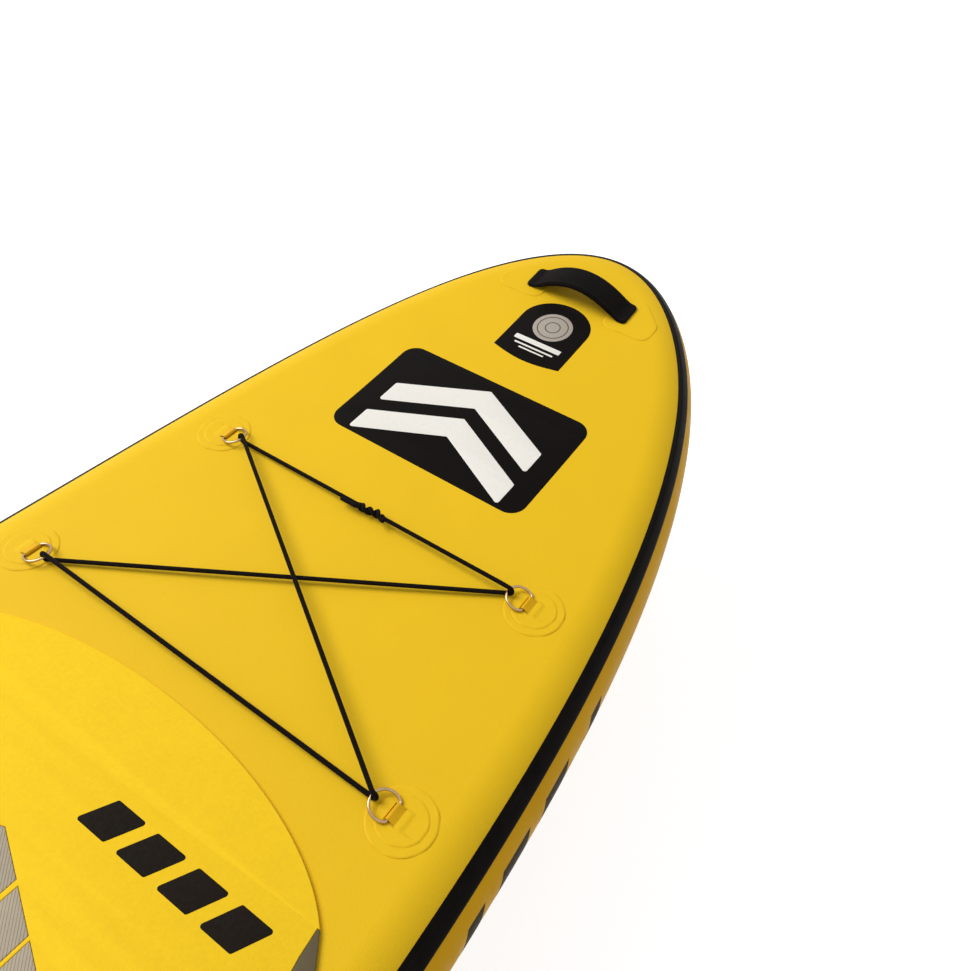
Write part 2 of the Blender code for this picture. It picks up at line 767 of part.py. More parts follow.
def hook_points(bar, toward_first, toward_last, above_first):
    """The cord's turn round the bow of a ring, from the first run to the last."""
    apex = bar @ Vector((RING_REACH, 0.0, 0.0))
    up = Vector((0.0, 0.0, 1.0))
    out = (bar.to_3x3() @ Vector((1.0, 0.0, 0.0)))
    out.z = 0.0
    out.normalize()
    sense = 1.0 if above_first else -1.0
    first = (toward_first - apex).normalized()
    last = (toward_last - apex).normalized()
    points = [apex + up * HOOK * sense + first * HOOK_LEAD]
    for k in range(9):
        angle = math.pi * k / 8
        points.append(apex + up * HOOK * sense * math.cos(angle) - out * HOOK * math.sin(angle))
    points.append(apex - up * HOOK * sense + last * HOOK_LEAD)
    return points


def smooth_ramp(t):
    """0 to 1 with level ends."""
    t = min(max(t, 0.0), 1.0)
    return t * t * (3 - 2 * t)


def knot_strands(start, finish):
    """The two cord ends: each is wound round the other beside a crossing in the middle.

    The strand from the start side runs straight through the first lobe and is wound in the second;
    the strand from the finish side is wound in the first lobe and runs straight through the second.
    """
    along = (finish - start).normalized()
    side = Vector((0.0, 1.0, 0.0))
    side = (side - along * side.dot(along)).normalized()
    up = along.cross(side)
    middle = start + along * ((KNOT_CENTRE - start.x) / along.x)
    half = KNOT_CROSSING / 2
    reach = half + KNOT_LOBE
    turn = 2 * math.pi * KNOT_TURNS
    steps = 24 * KNOT_TURNS

    def place(s, share, radius_sign):
        angle = 0.0
        if s < -half:
            angle = turn * (s + half) / KNOT_LOBE
        if s > half:
            angle = turn * (s - half) / KNOT_LOBE
        spoke = side * math.cos(angle) + up * math.sin(angle)
        sway = KNOT_SWAY * (2 * smooth_ramp((s + half) / KNOT_CROSSING) - 1)
        fade = 1 - smooth_ramp((abs(s) - reach) / KNOT_LOBE)
        return middle + along * s + side * sway * fade + spoke * TWIST * radius_sign * share

    def strand(sign, wound_first):
        points = []
        samples = [-reach + KNOT_LOBE * k / steps for k in range(steps)]
        samples += [-half + KNOT_CROSSING * k / 10 for k in range(11)]
        samples += [half + KNOT_LOBE * k / steps for k in range(1, steps + 1)]
        for s in samples:
            share = smooth_ramp((s + half) / KNOT_CROSSING)
            if wound_first:
                share = 1 - share
            straight = share == 0.0
            if straight and round((s + reach) / KNOT_LOBE * steps) % 8:
                continue
            points.append(place(s, share, sign))
        return points

    from_start = strand(-1, False)
    from_finish = strand(1, True)
    end = from_start[-1]
    from_start.append(end + along * KNOT_STUB)
    tail = from_finish[0]
    for share in (0.3, 1.0):
        from_finish.insert(0, tail - along * KNOT_TAIL * share + (side + up) * KNOT_FLARE * share)
    return from_start, from_finish


def least_gap(points, radius):
    """Least clear distance of a cord to itself, between places over a few diameters apart."""
    line = np.array([tuple(p) for p in points])
    fine = []
    for a, b in zip(line, line[1:]):
        pieces = max(1, int(np.linalg.norm(b - a) / 0.0008))
        fine.extend(a + (b - a) * k / pieces for k in range(pieces))
    fine = np.array(fine)
    travel = np.concatenate([[0.0], np.cumsum(np.linalg.norm(np.diff(fine, axis=0), axis=1))])
    best = 1.0
    for k in range(len(fine)):
        far = travel - travel[k] > 6 * radius
        if far.any():
            best = min(best, float(np.linalg.norm(fine[far] - fine[k], axis=1).min()))
    return best - 2 * radius


def build_bungee(bars):
    """One elastic cord laced through the four rings, its ends knotted in the front run."""
    apex = {name: bar @ Vector((RING_REACH, 0.0, 0.0)) for name, bar in bars.items()}
    up = Vector((0.0, 0.0, HOOK))
    start = apex["front_port"] - up
    finish = apex["front_starboard"] + up
    from_start, from_finish = knot_strands(start, finish)
    points = list(from_finish)
    route = (
        ("front_starboard", "front_port", "rear_port", True),
        ("rear_port", "front_starboard", "rear_starboard", False),
        ("rear_starboard", "rear_port", "front_port", False),
        ("front_port", "rear_starboard", "front_starboard", True),
    )
    for name, before, after, above in route:
        points += hook_points(bars[name], apex[before], apex[after], above)
    points += from_start
    print("bungee cord: least gap to itself %.2f mm" % (1000 * least_gap(points, CORD_RADIUS)))
    length = sum((b - a).length for a, b in zip(points, points[1:]))
    print("bungee cord: length %.3f m, %d points" % (length, len(points)))
    wire("bungee_cord", points, CORD_RADIUS, "cord black", resolution=1)


def arch(s, half_run, rise, power):
    """Height of a handle over its feet at s along it; a lower power makes a fuller arch."""
    t = min(abs(s) / half_run, 1.0)
    return rise * (1 - t * t) ** power


def handle_sections(form, width, thickness, corner, low, stations):
    """Cross sections of a handle along X, its feet level at low.

    The form is the half run, rise and power of its arch. The thickness is a pair, for the middle and for
    the ends; the corner is a share of it.
    """
    middle, ends = thickness
    sections = []
    for s in stations:
        slope = (arch(s + 1e-4, *form) - arch(s - 1e-4, *form)) / 2e-4
        tilt = math.atan(slope)
        lift = low + arch(s, *form)
        thick = ends + (middle - ends) * (1 - (s / stations[-1]) ** 4)
        section = []
        for a, b in rounded_rectangle(width / 2, thick / 2, corner * thick):
            section.append(Vector((s - b * math.sin(tilt), a, lift + b * math.cos(tilt))))
        sections.append(section)
    return sections


def build_handle(stem, place, length, foot, rise, power, strap_width, grip_width):
    """A webbing strap arched between two feet, with a padded sleeve round its middle."""
    low = HANDLE_PATCH + 2 * GAP + WEBBING / 2
    half_run = length / 2 - foot
    form = (half_run, rise, power)
    extent = half_run - GRIP_END_MARGIN
    middle = [extent * (2 * k / HANDLE_STEPS - 1) for k in range(HANDLE_STEPS + 1)]
    ends = [half_run - GRIP_END_MARGIN / 2, half_run, length / 2]
    stations = [-s for s in reversed(ends)] + middle + ends
    web = (WEBBING, WEBBING)
    bore = (WEBBING + 2 * GAP, WEBBING + 2 * GAP)
    pad = (GRIP_THICKNESS, GRIP_END_THICKNESS)
    strap = handle_sections(form, strap_width, web, 0.3, low, stations)
    add_part(stem + "_strap", mesh_from(loft(strap), stem + "_strap", 50.0), "webbing black", place)
    outer = handle_sections(form, grip_width, pad, 0.45, low, middle)
    inner = handle_sections(form, strap_width + 2 * GAP, bore, 0.2, low, middle)
    add_part(stem + "_grip", mesh_from(sleeve(outer, inner), stem + "_grip", 50.0), "neoprene black", place)


def build_handle_patch(name, x, y, size_x, size_y, cut=0.0):
    """A rounded patch that a handle's foot is bonded to, its outer forward corner cut off by cut."""
    outer = size_x / 2 if x > 0 else -size_x / 2
    fore = size_y / 2
    corners = [(-outer, -fore), (outer, -fore), (outer, fore), (-outer, fore)]
    if cut:
        step = cut if x > 0 else -cut
        corners[2:3] = [(outer, fore - cut), (outer - step, fore)]
    outline = rounded_polygon(corners, HANDLE_PATCH_CORNER)
    low, high = GAP, GAP + HANDLE_PATCH
    sections = [[Vector((a + x, b + y, z)) for a, b in outline] for z in (low, high)]
    add_part(name, mesh_from(drape(loft(sections), deck_height), name), "deck yellow")


def build_handles():
    """The nose handle across the board and the carry handle along it."""
    nose_y = LENGTH / 2 - NOSE_HANDLE_FROM_NOSE
    place = seat(0.0, nose_y, NOSE_HANDLE_GRIP_WIDTH / 2)
    build_handle(
        "nose_handle", place, NOSE_HANDLE_LENGTH, NOSE_HANDLE_FOOT, NOSE_HANDLE_RISE, NOSE_HANDLE_ARCH,
        NOSE_HANDLE_STRAP_WIDTH, NOSE_HANDLE_GRIP_WIDTH,
    )
    patch_x = NOSE_HANDLE_LENGTH / 2 + NOSE_HANDLE_PATCH_OVERHANG - NOSE_HANDLE_PATCH_X / 2
    for label, side in (("port", -1), ("starboard", 1)):
        build_handle_patch(
            "nose_handle_patch_" + label, side * patch_x, nose_y, NOSE_HANDLE_PATCH_X, NOSE_HANDLE_PATCH_Y,
            NOSE_HANDLE_PATCH_CUT,
        )
    turned_place = seat(0.0, CARRY_HANDLE_Y, CARRY_HANDLE_LENGTH / 2) @ Matrix.Rotation(math.pi / 2, 4, "Z")
    build_handle(
        "carry_handle", turned_place, CARRY_HANDLE_LENGTH, CARRY_HANDLE_FOOT, CARRY_HANDLE_RISE,
        CARRY_HANDLE_ARCH, CARRY_HANDLE_STRAP_WIDTH, CARRY_HANDLE_GRIP_WIDTH,
    )
    patch_y = CARRY_HANDLE_LENGTH / 2 + CARRY_HANDLE_PATCH_OVERHANG - CARRY_HANDLE_PATCH_Y / 2
    for label, side in (("fore", 1), ("aft", -1)):
        build_handle_patch(
            "carry_handle_patch_" + label, 0.0, CARRY_HANDLE_Y + side * patch_y,
            CARRY_HANDLE_PATCH_X, CARRY_HANDLE_PATCH_Y,
        )


def pad_half_width(y):
    """Half the width of the traction pad at y, rounded in at both ends."""
    nose_end = LENGTH / 2 - PAD_FROM_NOSE
    tail_end = PAD_FROM_TAIL - LENGTH / 2
    width = flat_half_width(y) - PAD_MARGIN
    from_nose = max((y - (nose_end - PAD_NOSE_CURVE)) / PAD_NOSE_CURVE, 0.0)
    from_tail = max(((tail_end + PAD_TAIL_CURVE) - y) / PAD_TAIL_CURVE, 0.0)
    return width * math.sqrt(max(1 - from_nose**2, 0.0)) * math.sqrt(max(1 - from_tail**2, 0.0))


def build_pad():
    """The foam traction pad, with an opening round the carry handle."""
    nose_end = LENGTH / 2 - PAD_FROM_NOSE
    tail_end = PAD_FROM_TAIL - LENGTH / 2
    turns = [math.radians(a) for a in (6, 14, 24, 35, 47, 60, 74)]
    rows = [nose_end - PAD_NOSE_CURVE * (1 - math.cos(t)) for t in turns]
    rows += [tail_end + PAD_TAIL_CURVE * (1 - math.cos(t)) for t in turns]
    rows += [k for k in KINKS if tail_end + 0.002 < k < nose_end - 0.002]
    rows = sorted(rows)
    kept = rows[:1]
    for row in rows[1:]:
        if row - kept[-1] > 0.0008:
            kept.append(row)
    low, high = GAP, GAP + PAD_THICKNESS
    sections = []
    for y in kept:
        width = pad_half_width(y)
        inset = min(PAD_EDGE_BEVEL, width / 4)
        base = deck_height(y)
        sections.append(
            [
                Vector((-width, y, base + low)),
                Vector((width, y, base + low)),
                Vector((width, y, base + high - inset)),
                Vector((width - inset, y, base + high)),
                Vector((-width + inset, y, base + high)),
                Vector((-width, y, base + high - inset)),
            ]
        )
    pad = add_part("traction_pad", mesh_from(loft(sections), "traction_pad", 25.0), "foam yellow")
    half_x = CARRY_HANDLE_PATCH_X / 2 + PAD_CUTOUT_MARGIN
    half_y = CARRY_HANDLE_LENGTH / 2 + CARRY_HANDLE_PATCH_OVERHANG + PAD_CUTOUT_MARGIN
    outline = rounded_rectangle(half_x, half_y, half_x * 0.8, 6)
    level = deck_height(CARRY_HANDLE_Y)
    walls = [
        [Vector((a, b + CARRY_HANDLE_Y, level + z)) for a, b in outline]
        for z in (-PAD_THICKNESS, 2 * PAD_THICKNESS)
    ]
    boolean(pad, add_cutter("pad_opening", mesh_from(loft(walls), "pad_opening")), "DIFFERENCE")
    build_accents(pad)
    build_bars(pad)


def build_accents(pad):
    """Strips of a second foam along both sides of the pad."""
    front = LENGTH / 2 - PAD_FROM_NOSE - ACCENT_SETBACK
    back = ACCENT_FROM_TAIL - LENGTH / 2
    rows = [front, front - ACCENT_TAPER, back + ACCENT_TAPER, back]
    rows += [k for k in KINKS if back + ACCENT_TAPER < k < front - ACCENT_TAPER]
    rows = sorted(set(float(row) for row in rows))
    low, high = GAP, GAP + PAD_THICKNESS
    for label, side in (("port", -1), ("starboard", 1)):
        strip = []
        notch = []
        for y in rows:
            outer = pad_half_width(y)
            width = ACCENT_WIDTH * min(1.0, (min(front - y, y - back) + ACCENT_END) / ACCENT_TAPER)
            base = deck_height(y)
            inner = outer - width
            shape = (
                (inner, low), (outer, low), (outer, high - PAD_EDGE_BEVEL), (outer - PAD_EDGE_BEVEL, high),
                (inner, high),
            )
            strip.append([Vector((side * x, y, base + z)) for x, z in shape])
            wall = outer + 2 * PAD_THICKNESS
            floor, top = -PAD_THICKNESS / 2, 2 * PAD_THICKNESS
            wide = ((inner - GAP, floor), (wall, floor), (wall, top), (inner - GAP, top))
            notch.append([Vector((side * x, y, base + z)) for x, z in wide])
        for section in (notch[0], notch[-1]):
            step = -GAP if section is notch[0] else GAP
            for point in section:
                point.y += step
        name = "pad_accent_" + label
        add_part(name, mesh_from(loft(strip), name, 25.0), "foam dark grey")
        boolean(pad, add_cutter(name + "_notch", mesh_from(loft(notch), name + "_notch")), "DIFFERENCE")


def bar_outline(x_low, x_high, grow):
    """Plan of a bar of the pad with its ends cut along the chevron."""
    front = LENGTH / 2 - PAD_FROM_NOSE - CHEVRON_SETBACK
    back = BAR_FROM_TAIL - LENGTH / 2
    slope = CHEVRON_SLOPE
    low = x_low - grow
    high = x_high + grow
    lead = grow * math.hypot(1.0, slope)
    return [
        (low, back - slope * low - lead),
        (high, back - slope * high - lead),
        (high, front - slope * high + lead),
        (low, front - slope * low + lead),
    ]


def build_inlay(pad, name, outline, opening):
    """One inlay of the pad and the opening that it lies in."""
    low, high = GAP, GAP + PAD_THICKNESS
    inlay = loft([[Vector((x, y, z)) for x, y in outline] for z in (low, high)])
    add_part(name, mesh_from(drape(inlay, deck_height), name, 25.0), "foam light grey")
    hole = loft([[Vector((x, y, z)) for x, y in opening] for z in (-0.002, 0.010)])
    cutter = add_cutter(name + "_opening", mesh_from(drape(hole, deck_height), name + "_opening"))
    boolean(pad, cutter, "DIFFERENCE")


def build_bars(pad):
    """Bars of a third foam let into the pad, their front ends cut to a chevron."""
    for row, (x_low, x_high) in (("inner", INNER_BAR), ("outer", OUTER_BAR)):
        for label, side in (("port", -1), ("starboard", 1)):
            outline = [(side * x, y) for x, y in bar_outline(x_low, x_high, 0.0)]
            opening = [(side * x, y) for x, y in bar_outline(x_low, x_high, GAP)]
            build_inlay(pad, "pad_bar_%s_%s" % (row, label), outline, opening)
    front = LENGTH / 2 - PAD_FROM_NOSE - CHEVRON_SETBACK
    wing = CHEVRON_HALF_WIDTH
    plans = []
    for grow in (0.0, GAP):
        lead = grow * math.hypot(1.0, CHEVRON_SLOPE)
        half = wing + grow
        tip = front + lead
        foot = front - CHEVRON_LENGTH - grow
        plans.append([(-half, foot), (half, foot), (half, tip - CHEVRON_SLOPE * half), (0.0, tip),
                      (-half, tip - CHEVRON_SLOPE * half)])
    build_inlay(pad, "pad_chevron", plans[0], plans[1])


def valve_place():
    """Centre of the valve on the deck's top face."""
    return seat(VALVE_X, VALVE_FROM_TAIL - LENGTH / 2, VALVE_FLANGE_RADIUS)


def build_valve(deck):
    """Inflation valve: flanged body, inner nut, sprung plunger, and a hinged cap."""
    place = valve_place()
    hole_radius = VALVE_STEM_RADIUS + GAP
    hole = cylinder_mesh("valve_hole", hole_radius, -0.010, 0.010)
    boolean(deck, add_cutter("valve_hole", hole, place), "DIFFERENCE")
    flange_low = 2 * GAP
    flange_high = flange_low + VALVE_FLANGE
    nut_top = -SKIN - 2 * GAP
    body = turned(
        "valve_body",
        [
            (VALVE_FLANGE_RADIUS - 0.0012, flange_high),
            (VALVE_FLANGE_RADIUS, flange_high - 0.0012),
            (VALVE_FLANGE_RADIUS, flange_low),
            (VALVE_STEM_RADIUS, flange_low),
            (VALVE_STEM_RADIUS, -VALVE_DEPTH),
            (VALVE_BORE_RADIUS - VALVE_LIP / 2, -VALVE_DEPTH),
            (VALVE_BORE_RADIUS, -VALVE_DEPTH + VALVE_LIP),
            (VALVE_BORE_RADIUS, flange_high),
        ],
        "valve grey", place,
    )
    hub_top = -VALVE_HUB_DROP + VALVE_HUB
    reach = (VALVE_BORE_RADIUS + VALVE_STEM_RADIUS) / 2
    for k in range(2):
        spoke = box_mesh(
            "valve_spoke_%d" % k,
            (-reach, -VALVE_SPOKE / 2, -VALVE_HUB_DROP), (reach, VALVE_SPOKE / 2, hub_top),
        )
        turn = Matrix.Rotation(math.pi / 2 * k, 4, "Z")
        boolean(body, add_cutter("valve_spoke_%d" % k, spoke, place @ turn), "UNION")
    hub = cylinder_mesh("valve_hub", VALVE_HUB_RADIUS, -VALVE_HUB_DROP - 0.0003, hub_top + 0.0003, 20)
    boolean(body, add_cutter("valve_hub", hub, place), "UNION")
    guide = cylinder_mesh("valve_guide", PLUNGER_STEM_RADIUS + GAP, -VALVE_DEPTH, 0.0, 16)
    boolean(body, add_cutter("valve_guide", guide, place), "DIFFERENCE")
    turned(
        "valve_nut",
        [
            (VALVE_NUT_RADIUS, nut_top),
            (VALVE_NUT_RADIUS, nut_top - VALVE_NUT / 2),
            (VALVE_NUT_RADIUS - 0.005, nut_top - VALVE_NUT),
            (VALVE_STEM_RADIUS + GAP, nut_top - VALVE_NUT),
            (VALVE_STEM_RADIUS + GAP, nut_top),
        ],
        "valve grey", place,
    )
    button_top = flange_high - PLUNGER_BUTTON_DROP
    seal_top = -VALVE_DEPTH - GAP
    turned(
        "valve_plunger",
        [
            (0.0, button_top),
            (PLUNGER_BUTTON_RADIUS, button_top),
            (PLUNGER_BUTTON_RADIUS, button_top - PLUNGER_BUTTON),
            (PLUNGER_STEM_RADIUS, button_top - PLUNGER_BUTTON),
            (PLUNGER_STEM_RADIUS, seal_top),
            (PLUNGER_SEAL_RADIUS, seal_top),
            (PLUNGER_SEAL_RADIUS - 0.001, seal_top - PLUNGER_SEAL),
            (0.0, seal_top - PLUNGER_SEAL),
        ],
        "valve rubber", place, 20, ring=False,
    )
    spring_low = hub_top + 2 * GAP + SPRING_WIRE
    spring_high = button_top - PLUNGER_BUTTON - GAP - SPRING_WIRE
    count = 10 * SPRING_TURNS
    coil = []
    for k in range(count + 1):
        angle = 2 * math.pi * k / 10
        height = spring_low + (spring_high - spring_low) * k / count
        coil.append((SPRING_RADIUS * math.cos(angle), SPRING_RADIUS * math.sin(angle), height))
    wire("valve_spring", coil, SPRING_WIRE, "stainless", place, resolution=1)
    pitch = (spring_high - spring_low) / SPRING_TURNS
    print("valve spring: least gap to itself %.2f mm" % (1000 * (pitch - 2 * SPRING_WIRE)))
    build_valve_cap(place, body, flange_low, flange_high)


def build_valve_cap(place, body, flange_low, flange_high):
    """The cap, turning in the ring of a tether that is hinged at the flange's edge."""
    tether_low = flange_high + GAP
    tether_high = tether_low + TETHER
    neck = CAP_NECK_RADIUS
    cap_low = tether_high + GAP
    cap_high = cap_low + CAP_HEIGHT
    cap = turned(
        "valve_cap",
        [
            (0.0, cap_high),
            (CAP_RADIUS - 0.0015, cap_high),
            (CAP_RADIUS, cap_high - 0.0015),
            (CAP_RADIUS, cap_low),
            (neck, cap_low),
            (neck, tether_low),
            (CAP_PLUG_RADIUS, tether_low),
            (CAP_PLUG_RADIUS - 0.001, flange_high - CAP_PLUG),
            (0.0, flange_high - CAP_PLUG),
        ],
        "valve grey", place, 28, ring=False,
    )
    grip_reach = CAP_RADIUS * 0.72
    grip = box_mesh(
        "cap_grip", (-grip_reach, -CAP_GRIP_WIDTH / 2, cap_high - 0.001),
        (grip_reach, CAP_GRIP_WIDTH / 2, cap_high + CAP_GRIP_HEIGHT),
    )
    boolean(cap, add_cutter("cap_grip", grip, place), "UNION")
    ring = []
    bore = neck + GAP
    half = TETHER_WIDTH / 2
    swing = math.asin(half / TETHER_RING_RADIUS)
    for k in range(25):
        angle = swing + (2 * math.pi - 2 * swing) * k / 24
        ring.append((TETHER_RING_RADIUS * math.cos(angle), TETHER_RING_RADIUS * math.sin(angle)))
    ring += [(TETHER_HINGE_REACH, -half), (TETHER_HINGE_REACH, half)]
    inside = []
    for k in range(28):
        angle = -2 * math.pi * k / 28
        inside.append((bore * math.cos(angle), bore * math.sin(angle)))
    middle = (tether_low + tether_high) / 2
    flat = bpy.data.objects.new("tether_flat", flat_outline("tether_flat", (ring, inside), TETHER / 2))
    CUTTERS.objects.link(flat)
    bpy.context.view_layer.update()
    bm = bmesh.new()
    bm.from_mesh(bpy.data.meshes.new_from_object(flat))
    bpy.data.objects.remove(flat)
    bmesh.ops.remove_doubles(bm, verts=bm.verts, dist=1e-6)
    bmesh.ops.translate(bm, vec=(0.0, 0.0, middle), verts=bm.verts)
    tether = add_part("cap_tether", mesh_from(bm, "cap_tether"), "valve rubber", place)
    axis = place @ Matrix.Translation((TETHER_HINGE_REACH, 0.0, middle)) @ Matrix.Rotation(math.pi / 2, 4, "X")
    eye = cylinder_mesh("tether_eye", TETHER_EYE_RADIUS, -half, half, 16)
    boolean(tether, add_cutter("tether_eye", eye, axis), "UNION")
    eye_bore = cylinder_mesh("tether_bore", TETHER_PIN_RADIUS + GAP, -2 * half, 2 * half, 12)
    boolean(tether, add_cutter("tether_bore", eye_bore, axis), "DIFFERENCE")
    cheek_in = half + GAP
    cheek_out = cheek_in + TETHER_CHEEK
    for label, side in (("port", -1), ("starboard", 1)):
        span = sorted((side * cheek_in, side * cheek_out))
        cheek = box_mesh(
            "valve_cheek_" + label, (VALVE_FLANGE_RADIUS - 0.003, span[0], flange_low),
            (TETHER_HINGE_REACH + TETHER_EYE_RADIUS, span[1], middle + TETHER_EYE_RADIUS),
        )
        boolean(body, add_cutter("valve_cheek_" + label, cheek, place), "UNION")
    pin_reach = cheek_in + TETHER_CHEEK / 2
    pin = cylinder_mesh("tether_pin", TETHER_PIN_RADIUS, -pin_reach, pin_reach, 12)
    boolean(body, add_cutter("tether_pin", pin, axis), "UNION")
    centre = place @ Vector((TETHER_HINGE_REACH, 0.0, middle))
    print("tether hinge at %.5f %.5f %.5f" % tuple(centre))


def fin_section(chord, thickness, lead, z, blunt=False):
    """A streamlined section, leading edge at lead, or a parallel-sided tab with round ends."""
    along = (0.0, 0.03, 0.12, 0.30, 0.52, 0.76, 0.95, 1.0)
    if blunt:
        nose = 0.5 * thickness / chord
        along = (0.0, 0.3 * nose, nose, 0.30, 0.52, 1 - nose, 1 - 0.3 * nose, 1.0)
    sides = []
    for t in along:
        if blunt:
            end = min(t, 1 - t) / nose
            half = thickness / 2 * math.sqrt(max(1 - (1 - min(end, 1.0)) ** 2, 0.0))
        else:
            half = 5 * thickness * (
                0.2969 * math.sqrt(t) - 0.1260 * t - 0.3516 * t**2 + 0.2843 * t**3 - 0.1015 * t**4
            )
            half += 0.0004 * t
        sides.append((lead - chord * t, half))
    loop = [(half, y) for y, half in sides]
    loop += [(-half, y) for y, half in reversed(sides[1:-1])]
    loop[len(sides) - 1] = (0.0, sides[-1][0])
    return [Vector((x, y, z)) for x, y in loop]


def build_fin_box():
    """The box that holds the centre fin: a flared foot, a slot and an undercut channel."""
    centre = FIN_BOX_FROM_TAIL - LENGTH / 2
    place = seat(0.0, centre, FIN_BOX_LENGTH / 2, bottom_height)
    foot = -GAP
    mouth = foot - FIN_BOX_HEIGHT
    rings = (
        (FIN_BOX_FLARE, foot, 0.020),
        (FIN_BOX_FLARE, foot - FIN_BOX_FLANGE, 0.020),
        (0.003, foot - FIN_BOX_FLANGE - 0.004, 0.010),
        (0.0, mouth + 0.003, 0.009),
        (-0.003, mouth, 0.008),
    )
    sections = []
    for grow, z, corner in rings:
        outline = rounded_rectangle(FIN_BOX_WIDTH / 2 + grow, FIN_BOX_LENGTH / 2 + grow, corner, 3)
        sections.append([place @ Vector((a, b, z)) for a, b in outline])
    bm = loft(sections)
    crease(bm)
    inverse = place.inverted()
    for vert in bm.verts:
        local = inverse @ vert.co
        if abs(local.z - foot) < 1e-5:
            vert.co.z = bottom_height(vert.co.y) + foot
    box = add_part("fin_box", mesh_from(bm, "fin_box"), "fin black")
    frame = place @ Matrix.Translation((0.0, 0.0, mouth))
    half = SLOT_LENGTH / 2
    wall = CHANNEL_WIDTH / 2
    inset = SLOT_STEP
    cuts = {
        "fin_slot": ((-SLOT_WIDTH / 2, -half, -0.002), (SLOT_WIDTH / 2, half, SLOT_DEPTH)),
        "fin_channel": ((-wall, -half + inset, CHANNEL_FLOOR), (wall, half - inset, CHANNEL_TOP)),
        "fin_channel_entry": (
            (-wall - inset, -half - inset, -0.002), (wall + inset, -half + SLOT_ENTRY, CHANNEL_FLOOR + inset)
        ),
    }
    for name, (corner_low, corner_high) in cuts.items():
        boolean(box, add_cutter(name, box_mesh(name, corner_low, corner_high), frame), "DIFFERENCE")
    return frame


def build_centre_fin(frame):
    """The removable fin with its cross pin, plate nut and thumb screw."""
    place = frame @ Matrix.Translation((0.0, FIN_SET_FORWARD, 0.0))
    front = FIN_TAB_LENGTH / 2
    sections = [
        fin_section(FIN_TAB_LENGTH, FIN_TAB, front, FIN_TAB_HEIGHT, blunt=True),
        fin_section(FIN_TAB_LENGTH, FIN_TAB, front, -0.0008, blunt=True),
    ]
    blade_steps = 8
    for k in range(blade_steps + 1):
        t = k / blade_steps
        curve = t**1.6
        chord = FIN_TAB_LENGTH + (FIN_TIP_CHORD - FIN_TAB_LENGTH) * (0.35 * t + 0.65 * t**2.4)
        lead = front - FIN_SWEEP * (0.45 * t + 0.55 * curve)
        thickness = FIN_ROOT * (1 - 0.55 * t)
        sections.append(fin_section(chord, thickness, lead, -0.0016 - FIN_DEPTH * t))
    fin = add_part("centre_fin", mesh_from(loft(sections), "centre_fin"), "fin black", place)
    tongue_low = CHANNEL_FLOOR - GAP - FIN_TONGUE_THICKNESS
    tongue_front = front + FIN_TONGUE - 0.004
    tongue = box_mesh(
        "fin_tongue", (-FIN_TAB / 2 + 0.0002, front - 0.012, tongue_low),
        (FIN_TAB / 2 - 0.0002, tongue_front, tongue_low + FIN_TONGUE_THICKNESS),
    )
    boolean(fin, add_cutter("fin_tongue", tongue, place), "UNION")
    screw_y = tongue_front - 0.006
    hole = cylinder_mesh("fin_screw_hole", SCREW_RADIUS + SCREW_CLEARANCE, -0.010, SLOT_DEPTH, 16)
    screw_place = place @ Matrix.Translation((0.0, screw_y, 0.0))
    boolean(fin, add_cutter("fin_screw_hole", hole, screw_place), "DIFFERENCE")
    pin_z = (CHANNEL_FLOOR + CHANNEL_TOP) / 2
    pin_y = -front + FIN_PIN_FROM_END
    across = place @ Matrix.Translation((0.0, pin_y, pin_z)) @ Matrix.Rotation(math.pi / 2, 4, "Y")
    bore = cylinder_mesh("fin_pin_hole", FIN_PIN_RADIUS + GAP, -FIN_TAB, FIN_TAB, 16)
    boolean(fin, add_cutter("fin_pin_hole", bore, across), "DIFFERENCE")
    pin = cylinder_mesh("fin_pin", FIN_PIN_RADIUS, -FIN_PIN_LENGTH / 2, FIN_PIN_LENGTH / 2, 16)
    add_part("fin_pin", pin, "brass", across)
    nut_low = CHANNEL_FLOOR + GAP
    nut = add_part(
        "fin_plate_nut",
        box_mesh(
            "fin_plate_nut", (-NUT_WIDTH / 2, -NUT_LENGTH / 2, nut_low),
            (NUT_WIDTH / 2, NUT_LENGTH / 2, nut_low + NUT),
        ),
        "stainless", screw_place,
    )
    boolean(nut, add_cutter("fin_nut_hole", hole.copy(), screw_place), "DIFFERENCE")
    head_top = min(tongue_low - GAP, -GAP)
    turned(
        "fin_screw",
        [
            (0.0, nut_low + NUT + 0.0015),
            (SCREW_RADIUS, nut_low + NUT + 0.0015),
            (SCREW_RADIUS, head_top),
            (SCREW_HEAD_RADIUS, head_top),
            (SCREW_HEAD_RADIUS, head_top - SCREW_HEAD + 0.001),
            (SCREW_HEAD_RADIUS - 0.001, head_top - SCREW_HEAD),
            (0.0, head_top - SCREW_HEAD),
        ],
        "stainless", screw_place, 20, ring=False,
    )


